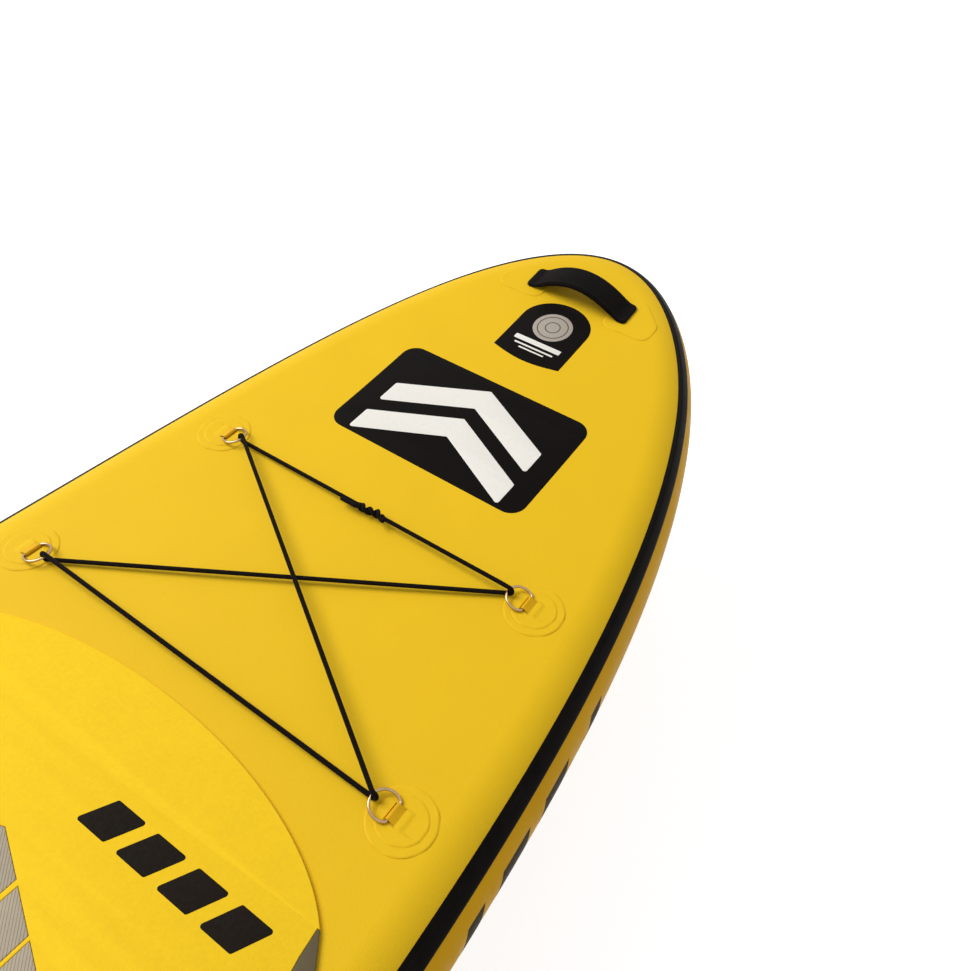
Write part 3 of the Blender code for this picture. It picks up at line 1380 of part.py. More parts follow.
def build_side_fin(name, side):
    """A small flexible fin on its own oval base."""
    y = SIDE_FIN_FROM_TAIL - LENGTH / 2
    place = seat(side * SIDE_FIN_X, y, SIDE_FIN_BASE_LENGTH / 2, bottom_height)
    toe = side * SIDE_FIN_TOE
    drop = -GAP
    corner = SIDE_FIN_BASE_WIDTH * 0.45
    outline = rounded_rectangle(SIDE_FIN_BASE_WIDTH / 2, SIDE_FIN_BASE_LENGTH / 2, corner, 4)
    world = place.translation
    base = loft(
        [
            [Vector((a * shrink + world.x, b * shrink + world.y, z)) for a, b in outline]
            for z, shrink in ((drop, 1.0), (drop - SIDE_FIN_BASE * 0.5, 1.0), (drop - SIDE_FIN_BASE, 0.94))
        ]
    )
    part = add_part(name, mesh_from(drape(base, bottom_height), name), "fin black")
    sections = []
    front = SIDE_FIN_CHORD / 2
    for k in range(7):
        t = k / 6
        chord = SIDE_FIN_CHORD + (SIDE_FIN_TIP_CHORD - SIDE_FIN_CHORD) * (0.35 * t + 0.65 * t**2.2)
        lead = front - SIDE_FIN_SWEEP * (0.45 * t + 0.55 * t**1.6)
        thickness = SIDE_FIN_ROOT * (1 - 0.5 * t)
        z = drop - SIDE_FIN_BASE / 2 - SIDE_FIN_DEPTH * t
        sections.append(fin_section(chord, thickness, lead, z))
    blade = mesh_from(loft(sections), name + "_blade")
    turn = place @ Matrix.Rotation(toe, 4, "Z")
    boolean(part, add_cutter(name + "_blade", blade, turn), "UNION")


def build_all():
    """Builds every sub-part."""
    deck = build_hull()
    bars = {}
    for name, x, y, heading in ring_stations():
        bars[name] = build_ring_set("bungee_" + name, x, y, heading)
    build_bungee(bars)
    build_ring_set("leash", 0.0, LEASH_RING_FROM_TAIL - LENGTH / 2, -math.pi / 2)
    build_handles()
    build_pad()
    build_valve(deck)
    frame = build_fin_box()
    build_centre_fin(frame)
    build_side_fin("side_fin_port", -1)
    build_side_fin("side_fin_starboard", 1)


build_all()
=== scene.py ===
import json
from math import asin, atan, atan2, ceil, copysign, cos, exp, floor, hypot, pi, radians, sin, sqrt, tan

import bmesh
import bpy
import numpy as np
from mathutils import Matrix, Vector


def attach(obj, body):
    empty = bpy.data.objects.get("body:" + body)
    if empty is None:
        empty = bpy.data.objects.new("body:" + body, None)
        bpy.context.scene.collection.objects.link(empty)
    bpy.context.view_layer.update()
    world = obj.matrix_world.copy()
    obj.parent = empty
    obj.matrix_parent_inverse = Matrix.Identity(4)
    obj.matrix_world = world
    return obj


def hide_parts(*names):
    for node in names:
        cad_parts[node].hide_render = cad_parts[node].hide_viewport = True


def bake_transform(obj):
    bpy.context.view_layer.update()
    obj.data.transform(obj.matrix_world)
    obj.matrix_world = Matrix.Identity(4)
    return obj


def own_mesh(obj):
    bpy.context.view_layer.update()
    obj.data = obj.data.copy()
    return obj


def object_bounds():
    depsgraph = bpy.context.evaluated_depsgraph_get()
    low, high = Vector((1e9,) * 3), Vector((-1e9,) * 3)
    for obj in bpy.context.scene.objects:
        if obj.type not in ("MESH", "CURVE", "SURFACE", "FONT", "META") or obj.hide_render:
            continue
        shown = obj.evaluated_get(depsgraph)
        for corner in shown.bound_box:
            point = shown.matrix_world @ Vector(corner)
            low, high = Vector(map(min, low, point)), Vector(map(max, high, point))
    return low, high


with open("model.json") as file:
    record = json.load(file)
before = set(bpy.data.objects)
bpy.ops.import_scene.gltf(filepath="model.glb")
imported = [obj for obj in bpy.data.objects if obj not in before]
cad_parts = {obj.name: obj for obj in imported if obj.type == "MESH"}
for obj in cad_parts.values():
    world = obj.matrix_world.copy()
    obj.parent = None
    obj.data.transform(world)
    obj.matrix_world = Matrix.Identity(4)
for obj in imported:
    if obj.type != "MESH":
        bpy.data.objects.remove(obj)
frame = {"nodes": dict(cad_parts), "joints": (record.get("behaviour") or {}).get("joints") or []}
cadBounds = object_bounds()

print("frame loaded:", len(frame["nodes"]), "nodes")

# The photograph's camera, found by fitting the hull to it. turn is a world-to-camera rotation vector.
photoCamera = {
    "place": (0.532, 0.186, 0.974), "turn": (2.2251, 0.7493, -0.1832), "focal": 818.24,
    "centre": (462.05, 543.24), "image": (970, 971), "sensor": 36.0, "near": 0.01,
}
upward = Vector((0.0, 0.0, 1.0))
fullTurn = 2 * pi


def linked(name, data):
    made = bpy.data.objects.new(name, data)
    bpy.context.scene.collection.objects.link(made)
    return made


def makeCamera():
    c = photoCamera
    data = bpy.data.cameras.new("photoCamera")
    width, height = c["image"]
    longest = max(width, height)
    data.sensor_width = c["sensor"]
    data.lens = c["focal"] / longest * c["sensor"]
    data.shift_x = (width / 2 - c["centre"][0]) / longest
    data.shift_y = (c["centre"][1] - height / 2) / longest
    data.clip_start = c["near"]
    turn = Vector(c["turn"])
    rows = Matrix.Rotation(turn.length, 3, turn.normalized())
    columns = Matrix((rows[0], -rows[1], -rows[2])).transposed()
    camera = linked("photoCamera", data)
    camera.matrix_world = Matrix.Translation(c["place"]) @ columns.to_4x4()
    bpy.context.scene.camera = camera


makeCamera()
print("camera set")

hull = {
    "length": 3.200, "halfBeam": 0.432, "thickness": 0.150, "railDepth": 0.078,
    "noseRun": 1.450, "nosePower": 2.8, "tailRun": 1.350, "tailPower": 2.2, "tailSquareness": 2.9,
    "noseLift": 0.196, "noseLiftRun": 1.450, "noseLiftPower": 2.2, "tailKick": 0.020, "tailKickRun": 0.600,
    "samples": 1441, "stations": 210, "crowding": 0.35, "bands": 9,
    "skin": 0.0012, "seamAngle": 47.0, "seamNoseLift": 8.0, "seamLiftRun": 0.300,
}
halfLength = hull["length"] / 2


def rocker(y):
    nose = np.clip((y - (halfLength - hull["noseLiftRun"])) / hull["noseLiftRun"], 0.0, None)
    tail = np.clip((-y - (halfLength - hull["tailKickRun"])) / hull["tailKickRun"], 0.0, None)
    return hull["noseLift"] * nose ** hull["noseLiftPower"] + hull["tailKick"] * tail**2


def planOutline():
    # Half the plan view, nose to tail, in stations that crowd where it bends, with its outward normals.
    turn = np.linspace(0.0, pi / 2, hull["samples"])
    back = turn[::-1]
    noseX = hull["halfBeam"] * np.sin(turn)
    noseY = halfLength - hull["noseRun"] * (1 - np.clip(np.cos(turn), 0, 1) ** (2 / hull["nosePower"]))
    tailX = hull["halfBeam"] * np.sin(back) ** (2 / hull["tailSquareness"])
    tailY = -halfLength + hull["tailRun"] * (1 - np.clip(np.cos(back), 0, 1) ** (2 / hull["tailPower"]))
    line = np.stack([np.concatenate([noseX, tailX]), np.concatenate([noseY, tailY])], 1)
    step = np.diff(line, axis=0)
    length = np.maximum(np.linalg.norm(step, axis=1), 1e-12)
    heading = np.unwrap(np.arctan2(step[:, 1], step[:, 0]))
    side = np.stack([-step[:, 1], step[:, 0]], 1) / length[:, None]
    normal = np.concatenate([[[0.0, 1.0]], (side[:-1] + side[1:]) / 2, [[0.0, -1.0]]])
    bend = np.concatenate([[0.0], np.abs(np.diff(heading))])
    travel = np.concatenate([[0.0], np.cumsum(length + hull["crowding"] * bend)])
    wanted = np.linspace(0.0, travel[-1], hull["stations"] + 1)
    points = np.stack([np.interp(wanted, travel, line[:, k]) for k in (0, 1)], 1)
    normals = np.stack([np.interp(wanted, travel, normal[:, k]) for k in (0, 1)], 1)
    return points, normals / np.linalg.norm(normals, axis=1)[:, None]


outline, outlineNormal = planOutline()


def railLine(degrees, grow=0.0):
    # One line along the rounded rail, nose to tail, at one angle over the horizontal or one for each station.
    angle = np.radians(degrees)
    reach = (hull["railDepth"] + grow) * np.cos(angle) - hull["railDepth"]
    x, y = (outline + outlineNormal * np.reshape(reach, (-1, 1))).T
    z = hull["thickness"] / 2 + (hull["thickness"] / 2 + grow) * np.sin(angle) + rocker(y)
    return np.stack([x, y, z], 1)


flatEdge = railLine(90.0)
nearNose = np.clip(1 - (halfLength - outline[:, 1]) / hull["seamLiftRun"], 0.0, 1.0)
seamLine = hull["seamAngle"] + hull["seamNoseLift"] * nearNose**2 * (3 - 2 * nearNose)


def deckTop(x, y):
    # Like bottomLow and shoulder, a height at (x, y) that plates can lie on.
    return hull["thickness"] + float(rocker(y))


def bottomLow(x, y):
    return float(rocker(y))


def shoulder(x, y):
    # The deck's height with its rounded shoulder: how far (x, y) lies past the level part sets the drop.
    near = int(np.argmin(np.hypot(flatEdge[:, 0] - abs(x), flatEdge[:, 1] - y)))
    out = (np.array((abs(x), y)) - flatEdge[near, :2]) @ outlineNormal[near]
    share = min(max(out, 0.0) / hull["railDepth"], 1.0)
    return deckTop(x, y) - hull["thickness"] / 2 * (1 - sqrt(1 - share * share))


def seatAt(x, y, reach, surface):
    # A stiff piece's place: on the chord of the surface over reach fore and aft.
    back, front = surface(x, y - reach), surface(x, y + reach)
    tilt = Matrix.Rotation(atan2(front - back, 2 * reach), 4, "X")
    return Matrix.Translation((x, y, (front + back) / 2)) @ tilt


def dress(piece, finish):
    material, slot = finishes[finish]
    piece.data.name = piece.name
    piece.data.materials.clear()
    piece.data.materials.append(material)


def addObject(name, mesh, finish, node=None, body="board"):
    piece = linked(name, mesh)
    dress(piece, finish)
    if body:
        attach(piece, body)
    if node:
        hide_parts(node)
    return piece


def opened(mesh):
    bm = bmesh.new()
    bm.from_mesh(mesh)
    return bm


def closed(bm, sharp=35.0, mesh=None):
    # Gives the faces to a mesh: smooth, with sharp edges where they meet at more than the angle.
    if mesh is None:
        mesh = bpy.data.meshes.new("shape")
    bm.normal_update()
    for face in bm.faces:
        face.smooth = True
    for edge in bm.edges:
        edge.smooth = len(edge.link_faces) != 2 or edge.calc_face_angle(0.0) < radians(sharp)
    bm.to_mesh(mesh)
    bm.free()
    return mesh


def outward(bm):
    bmesh.ops.recalc_face_normals(bm, faces=bm.faces)
    if bm.calc_volume(signed=True) < 0:
        bmesh.ops.reverse_faces(bm, faces=bm.faces)


def weldClose(bm, distance):
    bmesh.ops.remove_doubles(bm, verts=bm.verts, dist=distance)
    bmesh.ops.dissolve_degenerate(bm, edges=bm.edges, dist=distance)


def travelOf(points):
    # Distance run at each point of a line.
    return np.concatenate([[0.0], np.cumsum(np.linalg.norm(np.diff(points, axis=0), axis=1))])


def loftMesh(rows, caps=True, weld=1e-6, sharp=35.0):
    # Skin over closed sections; UV is metres along and across, so that weaves keep their scale.
    rows = np.asarray(rows, float)
    count, across = rows.shape[:2]
    around = np.concatenate([rows, rows[:, :1]], 1)
    lengthU = np.array([travelOf(row) for row in around]).max(0)
    stepV = np.linalg.norm(np.diff(rows, axis=0), axis=2).mean(1)
    lengthV = np.concatenate([[0.0], np.cumsum(stepV)])
    bm = bmesh.new()
    layer = bm.loops.layers.uv.new("UVMap")
    verts = [[bm.verts.new(point) for point in row] for row in rows]
    for i in range(count - 1):
        for j in range(across):
            k = (j + 1) % across
            face = bm.faces.new((verts[i][j], verts[i + 1][j], verts[i + 1][k], verts[i][k]))
            for loop, (u, v) in zip(face.loops, ((j, i), (j, i + 1), (j + 1, i + 1), (j + 1, i))):
                loop[layer].uv = (lengthU[u], lengthV[v])
    if caps:
        for row in (verts[0], verts[-1]):
            bm.faces.new(row)
    if weld:
        weldClose(bm, weld)
    outward(bm)
    return closed(bm, sharp)


def colour(red, green, blue):
    # sRGB 0 to 255 to the linear values that shaders use.
    def linear(value):
        value /= 255.0
        return value / 12.92 if value <= 0.04045 else ((value + 0.055) / 1.055) ** 2.4
    return (linear(red), linear(green), linear(blue), 1.0)


class Nodes:
    # Short calls for the shader nodes that the finishes and the studio share.
    def __init__(self, owner):
        owner.use_nodes = True
        self.tree = owner.node_tree
        self.tree.nodes.clear()

    def feed(self, socket, value):
        if isinstance(value, bpy.types.NodeSocket):
            self.tree.links.new(value, socket)
        else:
            socket.default_value = value

    def node(self, kind, inputs=(), **values):
        made = self.tree.nodes.new("ShaderNode" + kind)
        for key, value in values.items():
            if hasattr(made, key):
                setattr(made, key, value)
            else:
                self.feed(made.inputs[key], value)
        for socket, value in zip(made.inputs, inputs):
            self.feed(socket, value)
        return made

    def sum(self, first, second, operation="ADD", clamp=False):
        return self.node("Math", (first, second), operation=operation, use_clamp=clamp).outputs[0]

    def seen(self):
        # 1 for rays that show the background: straight ones, mirrored ones and ones through glass.
        path = self.node("LightPath").outputs
        direct = self.sum(path["Is Camera Ray"], path["Is Glossy Ray"], "MAXIMUM")
        return self.sum(direct, path["Is Transmission Ray"], "MAXIMUM")


class Finish(Nodes):
    def __init__(self, name, tone, roughness, specular):
        self.material = bpy.data.materials.new(name)
        super().__init__(self.material)
        self.tone, self.gloss, self.height = tone, roughness, None
        self.shader = self.node("BsdfPrincipled")
        self.set(Base_Color=tone, Roughness=roughness, Specular_IOR_Level=specular)
        self.out = self.node("OutputMaterial", (self.shader.outputs[0],))
        self.material.diffuse_color = tone

    def set(self, **sockets):
        for socket, value in sockets.items():
            self.feed(self.shader.inputs[socket.replace("_", " ")], value)

    def place(self, source="Object", scale=(1, 1, 1)):
        where = self.node("TexCoord").outputs[source]
        return self.node("Mapping", Vector=where, Scale=scale).outputs["Vector"]

    def noise(self, at, scale, detail=2.0, rough=0.5, twist=0.0):
        made = self.node("TexNoise", Vector=at, Scale=scale, Detail=detail, Roughness=rough, Distortion=twist)
        return made.outputs["Fac"]

    def cells(self, at, scale, feature="DISTANCE_TO_EDGE"):
        return self.node("TexVoronoi", feature=feature, Vector=at, Scale=scale).outputs["Distance"]

    def waves(self, at, scale, direction="X"):
        return self.node("TexWave", Vector=at, Scale=scale, bands_direction=direction).outputs["Fac"]

    def weave(self, at, scale, operation="ADD"):
        return self.sum(self.waves(at, scale, "X"), self.waves(at, scale, "Y"), operation)

    def parts(self, vector):
        return self.node("SeparateXYZ", (vector,)).outputs

    def sine(self, value, turnsPerMetre):
        return self.sum(self.sum(value, turnsPerMetre * fullTurn, "MULTIPLY"), 0.0, "SINE")

    def span(self, value, low, high, toLow=0.0, toHigh=1.0):
        return self.node("MapRange", (value, low, high, toLow, toHigh)).outputs["Result"]

    def mix(self, share, first, second):
        made = self.node("Mix", (share,), data_type="RGBA")
        self.feed(made.inputs[6], first)
        self.feed(made.inputs[7], second)
        return made.outputs[2]

    def shade(self, factor):
        return tuple(min(1.0, part * factor) for part in self.tone[:3]) + (1.0,)

    def paint(self, share, dark, light):
        made = self.mix(share, self.shade(dark), self.shade(light))
        self.set(Base_Color=made)
        return made

    def tint(self, value, low, high, dark, light):
        self.paint(self.span(value, low, high), dark, light)

    def rough(self, value, low, high, toLow, toHigh):
        self.set(Roughness=self.span(value, low, high, toLow, toHigh))

    def bump(self, value, strength, distance=0.001):
        made = self.node("Bump", Height=value, Strength=strength, Distance=distance)
        if self.height is not None:
            self.feed(made.inputs["Normal"], self.height)
        self.height = made.outputs["Normal"]
        self.set(Normal=self.height)


deckCloth = {"cell": 520.0, "emboss": 0.30, "mottle": 0.024, "spread": 0.08}
braid = {"sheath": 0.0188, "strands": 8, "lay": 0.0060}


def deckFabric(f, at):
    # PVC-coated fabric with an embossed grain of small cells over a faint base weave.
    soft = f.noise(at, 9.0, 3.0, 0.55)
    fine = f.noise(at, 260.0, 2.0, 0.6)
    share = f.sum(f.span(soft, 0.3, 0.7), f.span(fine, 0.25, 0.75, 0.0, 0.6))
    f.tint(share, 0.0, 1.6, 1 - deckCloth["mottle"], 1 + deckCloth["mottle"])
    f.rough(fine, 0.3, 0.7, f.gloss - deckCloth["spread"], f.gloss + deckCloth["spread"])
    f.bump(f.weave(at, 95.0), 0.06, 0.0003)
    f.bump(f.span(f.cells(at, deckCloth["cell"]), 0.0, 0.35), deckCloth["emboss"], 0.0004)
    f.bump(soft, 0.05, 0.004)


def railFabric(f, at):
    # The same coated fabric with a smooth face, a little glossier, with soft scuffs.
    soft = f.noise(at, 6.0, 3.0, 0.55)
    f.tint(soft, 0.3, 0.7, 0.95, 1.04)
    f.rough(f.noise(at, 34.0, 4.0, 0.6), 0.35, 0.7, 0.36, 0.52)
    f.bump(f.noise(at, 700.0, 2.0, 0.5), 0.08, 0.0003)
    f.bump(soft, 0.06, 0.004)


def tapeVinyl(f, at):
    # Smooth glued tape: faint rub marks, and a slow ripple where the roller passed.
    rub = f.noise(at, 45.0, 5.0, 0.6)
    f.tint(rub, 0.35, 0.75, 0.8, 1.7)
    f.rough(rub, 0.3, 0.75, 0.30, 0.50)
    f.bump(f.noise(at, 28.0, 2.0, 0.5), 0.10, 0.002)
    f.bump(f.noise(at, 900.0, 2.0, 0.5), 0.06, 0.0002)


def strapFabric(f, at):
    # The same coated cloth as the deck but plain, with its weave just showing. Its tone is the deck's yellow
    # darkened: painted shade.
    soft = f.noise(at, 120.0, 3.0, 0.6)
    f.tint(soft, 0.3, 0.7, 0.93, 1.04)
    f.rough(soft, 0.3, 0.7, 0.42, 0.56)
    f.bump(f.weave(at, 320.0), 0.10, 0.0002)


def steelWithPaintedReflection(f, at):
    # Drawn wire with fine marks and the odd dull spot. Its warm tone in the finish table is a painted
    # reflection of the yellow deck.
    f.set(Metallic=1.0)
    dull = f.noise(at, 160.0, 3.0, 0.6)
    f.tint(dull, 0.45, 0.75, 1.0, 0.82)
    f.rough(dull, 0.35, 0.75, 0.13, 0.34)
    f.bump(f.noise(at, 1400.0, 2.0, 0.6), 0.05, 0.0001)


def braidedCord(f, at):
    # A braided sheath: two families of strands that cross round the cord. Its colour is painted shade in the
    # valleys between strands and a painted glint on their crowns, with random flecks.
    f.set(Sheen_Weight=0.02, Sheen_Roughness=0.4)
    u, v, _ = f.parts(f.place("UV"))
    around = f.sum(u, braid["strands"] / braid["sheath"], "MULTIPLY")
    along = f.sum(v, braid["strands"] / braid["lay"] / 4, "MULTIPLY")
    left = f.sine(f.sum(around, along), 0.5)
    right = f.sine(f.sum(around, along, "SUBTRACT"), 0.5)
    cross = f.sum(f.sum(left, 0.0, "ABSOLUTE"), f.sum(right, 0.0, "ABSOLUTE"), "MULTIPLY")
    threads = f.sum(f.sine(f.sum(around, along), 3.0), 0.25, "MULTIPLY")
    f.bump(f.sum(cross, threads), 0.55, 0.0006)
    fine = f.noise(at, 900.0, 2.0, 0.6)
    # Colour follows the braid's relief: painted shade in the valleys, painted highlight on the crowns.
    f.paint(f.sum(f.span(cross, 0.0, 0.9), f.span(fine, 0.3, 0.7, -0.2, 0.2), "ADD", True), 0.45, 1.9)
    f.rough(fine, 0.3, 0.7, 0.5, 0.75)


def wovenWebbing(f, at):
    # Flat polypropylene webbing: lengthwise ribs that the weft dips under and over. Its colour follows the
    # weave: painted shade in the dips, painted highlight on the raised threads, with random flecks.
    f.set(Sheen_Weight=0.02, Sheen_Roughness=0.5)
    u, v, _ = f.parts(f.place("UV"))
    ribs, weft = f.sine(u, 1 / 0.0018), f.sine(v, 1 / 0.0026)
    check = f.sum(f.sum(ribs, weft, "MULTIPLY"), f.sum(ribs, 0.0, "ABSOLUTE"))
    f.bump(check, 0.5, 0.0004)
    fine = f.noise(at, 800.0, 2.0, 0.6)
    # Colour follows the weave's relief: painted shade in the dips, painted highlight on the ribs.
    f.paint(f.sum(f.span(check, -0.5, 1.6), f.span(fine, 0.3, 0.7, -0.15, 0.15), "ADD", True), 0.4, 2.5)
    f.rough(fine, 0.3, 0.7, 0.5, 0.72)


def neopreneSkin(f, at):
    # Jersey-faced foam rubber: a fine knit, slightly matted where it is held. Half its colour follows the
    # knit's relief as painted shade in the dips and painted highlight on the loops; the other half varies at
    # random.
    f.set(Sheen_Weight=0.02, Sheen_Roughness=0.5)
    u, v, _ = f.parts(f.place("UV"))
    knit = f.sum(f.sine(u, 1 / 0.0010), f.sine(v, 1 / 0.0013), "MULTIPLY")
    soft = f.noise(at, 60.0, 3.0, 0.6)
    f.bump(soft, 0.12, 0.002)
    f.bump(knit, 0.4, 0.0003)
    # Painted shade and highlight from the knit's relief, plus soft random patches.
    share = f.sum(f.span(soft, 0.35, 0.7, 0.0, 0.5), f.span(knit, -0.6, 0.6, 0.0, 0.5), "ADD", True)
    f.paint(share, 0.5, 1.8)
    f.rough(soft, 0.3, 0.7, 0.74, 0.9)


def sewingThread(f, at):
    f.bump(f.waves(at, 900.0, "DIAGONAL"), 0.4, 0.0001)
    f.paint(f.noise(at, 500.0, 2.0, 0.5), 0.7, 1.3)


def mouldedPlastic(f, at, texture):
    # Injection-moulded plastic: a fine spark-eroded grain, with rubbed high spots.
    rub = f.noise(at, 70.0, 4.0, 0.6)
    f.bump(f.noise(at, texture, 2.0, 0.6), 0.22, 0.0002)
    f.bump(rub, 0.05, 0.001)
    f.tint(rub, 0.35, 0.75, 0.8, 1.5)
    f.rough(rub, 0.3, 0.7, f.gloss - 0.08, f.gloss + 0.14)


def glassFilled(f, at):
    # Glass-filled nylon: short pale fibres that show as streaks in a satin black.
    fibre = f.noise(f.place(scale=(900.0, 140.0, 420.0)), 1.0, 3.0, 0.7, 1.5)
    f.tint(fibre, 0.58, 0.80, 0.9, 2.6)
    f.rough(f.noise(at, 22.0, 4.0, 0.6), 0.3, 0.7, 0.26, 0.46)
    f.bump(fibre, 0.06, 0.0002)


def softRubber(f, at):
    # Matt silicone rubber with a dusting of fine marks.
    dust = f.noise(at, 300.0, 4.0, 0.7)
    f.tint(dust, 0.45, 0.8, 1.0, 2.0)
    f.rough(dust, 0.3, 0.7, 0.6, 0.82)
    f.bump(dust, 0.10, 0.0002)


def turnedBrass(f, at):
    # Lathe-turned brass: faint rings and a dull film.
    f.set(Metallic=1.0)
    film = f.noise(at, 240.0, 3.0, 0.6)
    f.tint(film, 0.4, 0.75, 1.0, 0.62)
    f.rough(film, 0.3, 0.75, 0.2, 0.42)
    f.bump(f.waves(at, 1500.0, "Y"), 0.08, 0.0001)


def stitchedCore(f, at):
    # White polyester drop threads between two woven faces.
    f.tint(f.noise(at, 300.0, 2.0, 0.5), 0.3, 0.7, 0.82, 1.0)
    f.bump(f.sum(f.weave(at, 260.0, "MULTIPLY"), f.waves(at, 420.0, "DIAGONAL")), 0.35, 0.0004)


def evaFoam(f, at, grooves=0.0, mottle=0.035):
    # Closed-cell foam with a brushed face: small open cells, and light and dark flecks.
    fleck = f.noise(at, 190.0, 4.0, 0.7)
    wide = f.noise(at, 26.0, 3.0, 0.6)
    share = f.sum(f.span(fleck, 0.32, 0.68), f.span(wide, 0.3, 0.7, -0.25, 0.25), "ADD", True)
    face = f.paint(share, 1 - mottle, 1 + mottle)
    f.bump(fleck, 0.20, 0.0007)
    f.bump(f.cells(at, 620.0, "F1"), 0.16, 0.0004)
    if grooves:
        x, y, _ = f.parts(at)
        line = f.span(f.sine(f.sum(x, y), 1 / grooves), 0.55, 1.0)
        f.bump(f.sum(1.0, line, "SUBTRACT"), 0.6, 0.0008)
        # The grooves are painted darker than the face: painted shade in the recesses.
        f.set(Base_Color=f.mix(f.sum(line, 0.35, "MULTIPLY"), face, f.shade(0.45)))
    f.rough(fleck, 0.3, 0.7, 0.7, 0.88)


def screenInk(f, at, mottle=0.11):
    # Printed ink on the embossed cloth: the grain shows through, with pinholes at its high spots.
    fine = f.noise(at, 240.0, 3.0, 0.6)
    f.tint(fine, 0.3, 0.75, 1 - mottle, 1 + mottle)
    f.rough(fine, 0.3, 0.7, f.gloss - 0.06, f.gloss + 0.12)
    f.bump(f.span(f.cells(at, deckCloth["cell"]), 0.0, 0.35), 0.22, 0.0004)


# Each finish: material name, slot, sRGB tone, roughness, specular level, its function and that one's value.
finishTable = {
    "deck": ("deckFabric", "deck_skin", (238, 193, 30), 0.55, 0.10, deckFabric),
    "rail": ("railFabric", "rail_skin", (241, 182, 26), 0.42, 0.05, railFabric),
    "tape": ("seamTape", "seam_tape", (14, 11, 9), 0.34, 0.035, tapeVinyl),
    # The strap's tone is a darker copy of the deck's yellow: painted shade on the ring straps.
    "strap": ("strapFabric", "deck_skin", (228, 174, 18), 0.48, 0.14, strapFabric),
    # The steel's warm brownish tone is a painted reflection of the yellow deck round the rings.
    "steel": ("ringSteel", "steel", (184, 156, 122), 0.2, 0.5, steelWithPaintedReflection),
    "cord": ("cordBraid", "cord", (18, 13, 12), 0.62, 0.04, braidedCord),
    "webbing": ("handleWebbing", "webbing", (18, 15, 15), 0.6, 0.05, wovenWebbing),
    "neoprene": ("handleNeoprene", "neoprene", (17, 14, 13), 0.82, 0.04, neopreneSkin),
    "thread": ("handleThread", "webbing", (24, 21, 20), 0.55, 0.15, sewingThread),
    "printBlack": ("inkBlack", "pad_foam_dark", (18, 15, 13), 0.45, 0.03, screenInk),
    "printWhite": ("inkWhite", "deck_skin", (240, 236, 228), 0.45, 0.03, screenInk, 0.03),
    "printGrey": ("inkGrey", "deck_skin", (176, 166, 154), 0.45, 0.03, screenInk, 0.05),
    "printDarkGrey": ("inkDarkGrey", "deck_skin", (96, 88, 80), 0.45, 0.03, screenInk),
    "railPrint": ("inkRail", "seam_tape", (58, 47, 34), 0.45, 0.03, screenInk),
    "foam": ("padFoam", "pad_foam", (250, 206, 36), 0.78, 0.10, evaFoam),
    "foamLight": ("padFoamLight", "pad_foam_light", (182, 169, 148), 0.78, 0.10, evaFoam, 0.0042),
    "foamDark": ("padFoamDark", "pad_foam_dark", (102, 91, 68), 0.78, 0.10, evaFoam),
    "foamPrint": ("padPrint", "pad_foam_dark", (26, 20, 14), 0.78, 0.10, evaFoam),
    "valve": ("valveGrey", "valve_plastic", (52, 52, 55), 0.40, 0.25, mouldedPlastic, 900.0),
    "rubber": ("valveRubber", "valve_rubber", (30, 29, 30), 0.7, 0.2, softRubber),
    "finBox": ("finBoxBlack", "fin_plastic", (27, 26, 27), 0.45, 0.25, mouldedPlastic, 600.0),
    "fin": ("finNylon", "fin_plastic", (24, 24, 25), 0.32, 0.3, glassFilled),
    "brass": ("pinBrass", "brass", (196, 160, 92), 0.28, 0.5, turnedBrass),
    "core": ("dropThread", None, (224, 221, 212), 0.85, 0.1, stitchedCore),
}
finishes = {}
for key, (name, slot, tone, roughness, specular, how, *own) in finishTable.items():
    finish = Finish(name, colour(*tone), roughness, specular)
    how(finish, finish.place(), *own)
    finishes[key] = (finish.material, slot)
print("finishes made:", len(finishes))

sides = (("port", -1), ("starboard", 1))


def makeSkin(name, side, finish, node):
    # One panel from seam to seam, its outer and inner faces.
    angles = [seamLine + (90.0 - seamLine) * k / hull["bands"] for k in range(hull["bands"] + 1)]
    faces = []
    for grow in (0.0, -hull["skin"]):
        half = [railLine(side * angle, grow) for angle in angles]
        faces.append([line * (-1.0, 1.0, 1.0) for line in half] + half[::-1])
    mesh = loftMesh(np.stack(faces[0] + faces[1][::-1], 1), caps=False, weld=2e-5)
    return addObject(name, mesh, finish, node)


def makeStrip(name, side, profile, finish, node, sharp=35.0):
    # A closed strip round one side of the hull, from stem to stern; profile is (angle, height) pairs.
    rows = np.stack([railLine(angle, grow) for angle, grow in profile], 1)
    rows[:, :, 0] = side * np.maximum(rows[:, :, 0], 0.00005)
    addObject(name, loftMesh(rows, sharp=sharp), finish, node)


def makeHull():
    skin = makeSkin("deckSkin", 1, "deck", "deck_panel")
    makeSkin("bottomSkin", -1, "rail", "bottom_panel")
    wall = [seamLine * (1 - k / hull["bands"]) for k in range(2 * hull["bands"] + 1)]
    profile = [(angle, 0.0) for angle in wall] + [(angle, -hull["skin"]) for angle in wall[::-1]]
    for label, side in sides:
        makeStrip("sideWall_" + label, side, profile, "rail", "sidewall_" + label)
    return skin


# Distance from the seam toward the deck, and height, of the tape's top face in millimetres: a wide
# band with a narrower, thicker one over it.
tapeProfile = (
    (12.5, 0.05), (12.35, 0.40), (11.9, 0.62), (8.5, 0.72), (5.4, 0.75), (4.9, 0.95), (4.4, 1.32),
    (3.6, 1.50), (1.0, 1.50), (-4.0, 1.48), (-9.0, 1.42), (-11.9, 1.30), (-12.6, 0.95), (-12.8, 0.05),
)


